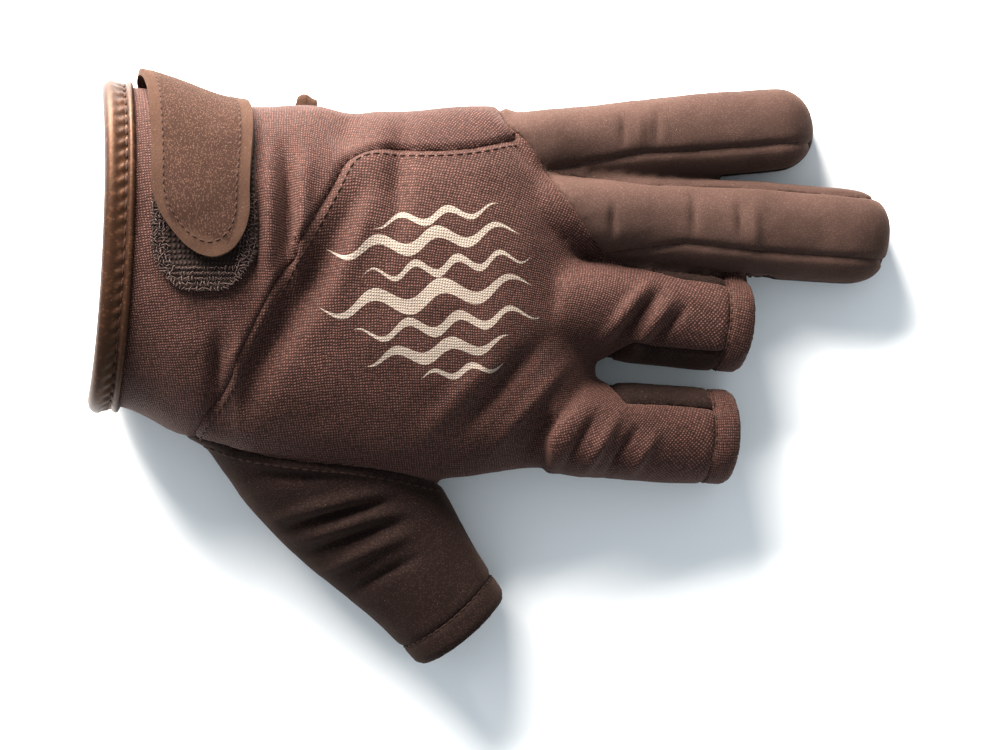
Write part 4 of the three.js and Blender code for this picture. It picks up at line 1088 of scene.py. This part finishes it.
def patch_place(reach, share, lift=0.0):
    """A point of the loop patch, with its lower corners round."""
    bend = PATCH_WIDTH * 0.42
    left = PATCH_LENGTH * (1 - reach)
    pulled = bend - math.sqrt(bend * bend - (bend - left) ** 2) if left < bend else 0
    width = (PATCH_WIDTH - 2 * pulled) * (share - 0.5) + STRAP_WIDTH / 2
    along = STRAP_ALONG + width / HAND_LENGTH
    section = hand_table(along)
    low, high = section["thumb_side"] * HAND_WIDTH, section["outer_side"] * HAND_WIDTH
    side = (PATCH_FROM * HAND_WIDTH - PATCH_LENGTH * reach - (low + high) / 2) / ((high - low) / 2)
    angle = math.acos(math.copysign(abs(side) ** 1.15, side))
    point, out = hand_frame(along, angle)
    return on_cloth(point, out, 0.25 * MM + lift)


def crowded(reach):
    """Brings the rows of a grid closer together towards its round end."""
    return 1 - (1 - reach) ** 1.6


def laid_sheet(name, place, long_steps, wide_steps, length, width, thickness):
    """A grid, laid by a function of its two shares and thickened outwards."""
    bm = bmesh.new()
    bmesh.ops.create_grid(bm, x_segments=long_steps, y_segments=wide_steps, size=0.5)
    uv = bm.loops.layers.uv.new("cloth")
    for face in bm.faces:
        face.smooth = True
        for loop in face.loops:
            loop[uv].uv = ((loop.vert.co.y + 0.5) * width, crowded(loop.vert.co.x + 0.5) * length)
    rim = bm.verts.layers.float.new("rim")
    for vert in bm.verts:
        reach, share = crowded(vert.co.x + 0.5), vert.co.y + 0.5
        away = min(share * width, (1 - share) * width, (1 - reach) * length)
        vert[rim] = 1 - smooth_step(away, STITCH_INSET * 0.8, STITCH_INSET * 1.05)
        vert.co = place(reach, share)
    bmesh.ops.recalc_face_normals(bm, faces=bm.faces)
    if sum(face.normal.z for face in bm.faces) < 0:
        bmesh.ops.reverse_faces(bm, faces=bm.faces)
    made = object_from(bm, name)
    bm.free()
    wall = made.modifiers.new("thickness", "SOLIDIFY")
    wall.thickness = thickness
    wall.offset = 1
    edge = made.modifiers.new("round edge", "BEVEL")
    edge.width = thickness * 0.3
    edge.segments = 3
    edge.limit_method = "ANGLE"
    edge.angle_limit = math.radians(60)
    return made


reaches = [crowded(share) for share in np.linspace(0, 1, 120)]
middle = [strap_at(reach, 0.5) for reach in reaches]
runs = np.cumsum([0.0] + [(b - a).length for a, b in zip(middle, middle[1:])])
outline = [Vector((run, strap_edges(reach)[0] * STRAP_WIDTH)) for run, reach in zip(runs, reaches)]
outline += [Vector((run, strap_edges(reach)[1] * STRAP_WIDTH)) for run, reach in zip(runs[::-1], reaches[::-1])]
strap_stitch_line = []
for before, point, after in zip(outline, outline[1:], outline[2:]):
    ahead = (after - before).normalized()
    inset = point + Vector((-ahead.y, ahead.x)) * STITCH_INSET
    strap_stitch_line.append((float(np.interp(inset.x, runs, reaches)), inset.y / STRAP_WIDTH))
STRAP_LENGTH = float(runs[-1])
print("strap:", round(STRAP_LENGTH / MM, 1), "mm long")

strap = laid_sheet("strap_suede", strap_place, 110, 44, STRAP_LENGTH, STRAP_WIDTH, STRAP_THICKNESS)
patch = laid_sheet("loop_patch_pile", patch_place, 48, 36, PATCH_LENGTH, PATCH_WIDTH, PATCH_THICKNESS)
for piece, node, finish, slot in ((strap, "strap", suede, "suede"), (patch, "loop_patch", loop_pile, "loop_pile")):
    piece.data.materials.append(finish)
    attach(piece, "root")
    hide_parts(node)
print("strap and loop patch laid")

# %% [markdown]
# The loops stand out at the rim of the patch. One small arch of yarn is made once, then set down in a few rows
# along the rim, each a little turned and sized by chance.

# %% Loops at the rim of the patch
LOOP_SIZE, YARN, LOOP_PITCH, LOOP_ROWS = 0.5 * MM, 0.11 * MM, 0.8 * MM, 5
arch = bmesh.new()
arch_rings = []
for bend in np.linspace(0, math.pi, 7):
    out = Vector((math.cos(bend), 0, 1.3 * math.sin(bend)))
    core = out * LOOP_SIZE
    arch_rings.append([core + (out.normalized() * math.cos(turn) + Vector((0, 1, 0)) * math.sin(turn)) * YARN
                       for turn in np.linspace(0, 2 * math.pi, 5)[:-1]])
tube(arch, arch_rings)
bmesh.ops.recalc_face_normals(arch, faces=arch.faces)
arch_mesh = bpy.data.meshes.new("arch")
arch.to_mesh(arch_mesh)
arch.free()
loops = bmesh.new()
for row in range(LOOP_ROWS):
    inset = 0.012 + 0.032 * row
    way = [(reach, inset) for reach in np.linspace(0.4, 1 - inset, 90)]
    way += [(1 - inset, share) for share in np.linspace(inset, 1 - inset, 20)]
    way += [(reach, 1 - inset) for reach in np.linspace(1 - inset, 0.4, 90)]
    line = [patch_place(*at, PATCH_THICKNESS) for at in way]
    run = np.cumsum([0.0] + [(b - a).length for a, b in zip(line, line[1:])])
    for due in np.arange(0, run[-1], LOOP_PITCH):
        reach, share = (float(np.interp(due, run, [at[i] for at in way])) for i in (0, 1))
        at = patch_place(reach, share, PATCH_THICKNESS)
        up = (patch_place(reach, share, 2 * PATCH_THICKNESS) - at).normalized()
        turned = up.to_track_quat("Z", "X").to_matrix() @ Matrix.Rotation(chance.uniform(0, math.pi), 3, "Z")
        there = Matrix.Translation(at - up * 0.1 * MM) @ (turned * chance.uniform(0.7, 1.25)).to_4x4()
        arch_mesh.transform(there)
        loops.from_mesh(arch_mesh)
        arch_mesh.transform(there.inverted())
for face in loops.faces:
    face.smooth = True
uv = loops.loops.layers.uv.new("cloth")
for face in loops.faces:
    for loop in face.loops:
        loop[uv].uv = (loop.vert.co.x, loop.vert.co.y)
pile = object_from(loops, "loop_patch_loops")
print("loops of yarn:", len(loops.faces) // len(arch_mesh.polygons))
loops.free()
# The loops take the lighter yarn, which holds painted light.
pile.data.materials.append(painted_lit_loop_yarn)
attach(pile, "root")

# %% The side tab
TAB_ALONG, TAB_WIDTH, TAB_REACH, TAB_THICKNESS = 0.407, 6.5 * MM, 5 * MM, 1 * MM
TAB_ANGLE, TAB_FOLD = math.radians(-12), TAB_THICKNESS * 0.75
tab_root, _ = hand_frame(TAB_ALONG, TAB_ANGLE)
tab_root = on_cloth(tab_root, Vector((0, 1, 0)), -0.3 * MM)


def tab_place(run, share):
    """Out along the lower layer, round the fold and back along the upper one."""
    turn = TAB_FOLD
    straight = TAB_REACH - turn
    way = run * (2 * straight + math.pi * turn)
    if way < straight:
        out, up = way, -turn
    elif way < straight + math.pi * turn:
        bend = (way - straight) / turn
        out, up = straight + turn * math.sin(bend), -turn * math.cos(bend)
    else:
        out, up = 2 * straight + math.pi * turn - way, turn
    bent = out / TAB_REACH
    along = (share - 0.5) * TAB_WIDTH * (1 - 0.3 * bent) + 0.8 * MM * bent
    return tab_root + Vector((along, out * (0.86 + 0.14 * math.sin(5 * share)), up + 0.6 * MM * bent * share))


TAB_LENGTH = 2 * TAB_REACH + (math.pi - 2) * TAB_FOLD
tab = laid_sheet("side_tab_tape", tab_place, 24, 10, TAB_LENGTH, TAB_WIDTH, TAB_THICKNESS)
tab.modifiers["thickness"].offset = 0
tab.data.materials.append(suede)
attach(tab, "root")
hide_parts("side_tab")
print("side tab at", [round(v / MM, 1) for v in tab_root])

# %% [markdown]
# ## Stitches
# A row of stitches is many small beads of thread, each lying along its line with its lower side in the cloth. A
# bead is a small sphere, stretched along the seam, so hundreds of them stay light.


# %% Sew a row of stitches
def sew(bm, places, pitch, length, thick):
    """Adds a bead of thread at every pitch along places, each a point and the direction out of the cloth."""
    travelled, due = 0.0, pitch / 2
    count = 0
    for (a, out), (b, _) in zip(places, places[1:]):
        step = b - a
        while step.length > 0 and travelled + step.length >= due:
            at = a + step * ((due - travelled) / step.length)
            ahead = step.normalized()
            side = out.cross(ahead).normalized()
            up = ahead.cross(side)
            turned = Matrix((ahead, side, up)).transposed().to_4x4()
            shape = Matrix.Diagonal((length / 2, thick / 2, thick * 0.4, 1))
            bmesh.ops.create_icosphere(bm, subdivisions=2, radius=1, matrix=Matrix.Translation(at) @ turned @ shape)
            due += pitch
            count += 1
        travelled += step.length
    return count


def from_above(line, aside=0.0, lift=0.1 * MM):
    """Places on the cloth under a line seen from above, moved so far to its left."""
    places = []
    for i, point in enumerate(line):
        run = (line[min(i + 1, len(line) - 1)] - line[max(i - 1, 0)]).normalized()
        over = point + Vector((-run.y, run.x, 0)) * aside + Vector((0, 0, TALL))
        hit, normal, _, _ = surface.ray_cast(over, Vector((0, 0, -1)))
        if hit and hit.z > SIDE_SEAM_HEIGHT:
            places.append((hit + normal * lift, normal))
    return places


def round_finger(finger, back, lift=0.1 * MM):
    """Places all round a finger, so far back from its mouth."""
    places = []
    half = finger["table"](1)["width"] / 2
    for angle in np.linspace(0, 2 * math.pi, 73):
        side, up = math.cos(angle), math.sin(angle)
        along = finger["length"] - back - MOUTH_BULGE * finger["width"] * (2 * half * side) ** 2
        core = finger_plan(finger, along, 0) + Vector((0, 0, finger["height"] * 0.42))
        out = finger["across"] * side + Vector((0, 0, up))
        hit, normal, _, _ = surface.ray_cast(core + out * (finger["width"] * 0.54), -out)
        if hit and hit.z > MM:
            places.append((hit + normal * lift, normal))
    return places


BESIDE_SEAM = -1.6 * MM
SEAM_STITCH = dict(pitch=2.3 * MM, length=1.7 * MM, thick=0.5 * MM)
HEM_STITCH = dict(pitch=2.0 * MM, length=1.5 * MM, thick=0.45 * MM)
STRAP_STITCH = dict(pitch=1.9 * MM, length=1.4 * MM, thick=0.45 * MM)
BINDING_STITCH = dict(pitch=STITCH_PITCH, length=2.1 * MM, thick=0.6 * MM)
sewing = bmesh.new()
count = 0
for line in (wrist_line, thumb_line):
    count += sew(sewing, from_above(smooth_line(line, 3), BESIDE_SEAM), **SEAM_STITCH)
for name in OPEN:
    count += sew(sewing, round_finger(FINGERS[name], HEM_WIDTH - 0.2 * MM), **HEM_STITCH)
places = []
for reach, width in strap_stitch_line:
    at = strap_at(reach, width, STRAP_THICKNESS + 0.02 * MM)
    out = (strap_at(reach, width, STRAP_THICKNESS + MM) - at).normalized()
    places.append((at, out))
strap_sewing = bmesh.new()
strap_count = sew(strap_sewing, places, **STRAP_STITCH)
print("stitches:", count, "in the cloth,", strap_count, "in the strap")

# %% Stitches of the binding
binding_sewing = bmesh.new()
places = []
for i in range(BINDING_RINGS + 1):
    angle = 2 * math.pi * (i % BINDING_RINGS) / BINDING_RINGS
    point, away = hand_frame(STITCH_LINE * MM / HAND_LENGTH, angle)
    if point.z > 2.5 * MM:
        places.append((point + away * (OUTER - 0.8 * MM), away))
sew(binding_sewing, places, **BINDING_STITCH)
for bm, name, slot in ((sewing, "seam_stitches", "knit"), (strap_sewing, "strap_stitches", "suede"),
                       (binding_sewing, "binding_stitches", "leather")):
    for face in bm.faces:
        face.smooth = True
    piece = object_from(bm, name)
    bm.free()
    piece.data.materials.append(thread)
    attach(piece, "root")
print("thread pieces made")

# %% [markdown]
# ## Floor, light and camera
# The glove lies on a plain pale floor. The light is large, soft and low, and comes from past the little finger, on
# the cuff's side, so the folds throw soft shadows towards the thumb. The camera looks straight down.

# %% Floor
floor_mesh = bmesh.new()
bmesh.ops.create_grid(floor_mesh, x_segments=1, y_segments=1, size=2)
floor = object_from(floor_mesh, "floor")
floor_mesh.free()
floor_paint = bpy.data.materials.new("floor")
floor_paint.use_nodes = True
floor_paint.node_tree.nodes["Principled BSDF"].inputs["Base Color"].default_value = (0.92, 0.93, 0.94, 1)
floor_paint.node_tree.nodes["Principled BSDF"].inputs["Roughness"].default_value = 0.9
floor.data.materials.append(floor_paint)


# %% Light and camera
def soft_light(name, place, aim, size, power, colour):
    """A square area light that looks at a point."""
    data = bpy.data.lights.new(name, "AREA")
    data.size = size
    data.energy = power
    data.color = colour
    lamp = bpy.data.objects.new(name, data)
    bpy.context.scene.collection.objects.link(lamp)
    lamp.location = place
    lamp.rotation_euler = (Vector(aim) - Vector(place)).to_track_quat("-Z", "Y").to_euler()
    return lamp


soft_light("window", place=(-0.15, 0.36, 0.185), aim=(0.02, 0.0, 0.02), size=0.32, power=20,
           colour=(1.0, 0.94, 0.88))
world = bpy.data.worlds.new("studio")
world.use_nodes = True
world.node_tree.nodes["Background"].inputs["Color"].default_value = (0.85, 0.94, 1.0, 1)
world.node_tree.nodes["Background"].inputs["Strength"].default_value = 0.7
bpy.context.scene.world = world
bpy.context.scene.view_settings.view_transform = "Standard"

PIXEL = 0.245 * MM
PICTURE_WIDTH, PICTURE_HEIGHT = 1000, 750
ORIGIN_ACROSS, ORIGIN_DOWN = 348.9, 266
FOCUS = Vector(((PICTURE_WIDTH / 2 - ORIGIN_ACROSS) * PIXEL, (ORIGIN_DOWN - PICTURE_HEIGHT / 2) * PIXEL, 18 * MM))
CAMERA_HEIGHT = 430 * MM
SENSOR_WIDTH = 36
camera_data = bpy.data.cameras.new("camera")
camera_data.sensor_width = SENSOR_WIDTH
camera_data.lens = SENSOR_WIDTH * CAMERA_HEIGHT / (PICTURE_WIDTH * PIXEL)
camera_data.clip_start = 0.01
camera = bpy.data.objects.new("camera", camera_data)
bpy.context.scene.collection.objects.link(camera)
camera.location = FOCUS + Vector((0, 0, CAMERA_HEIGHT))
bpy.context.scene.camera = camera
print("camera over", [round(v / MM) for v in FOCUS])
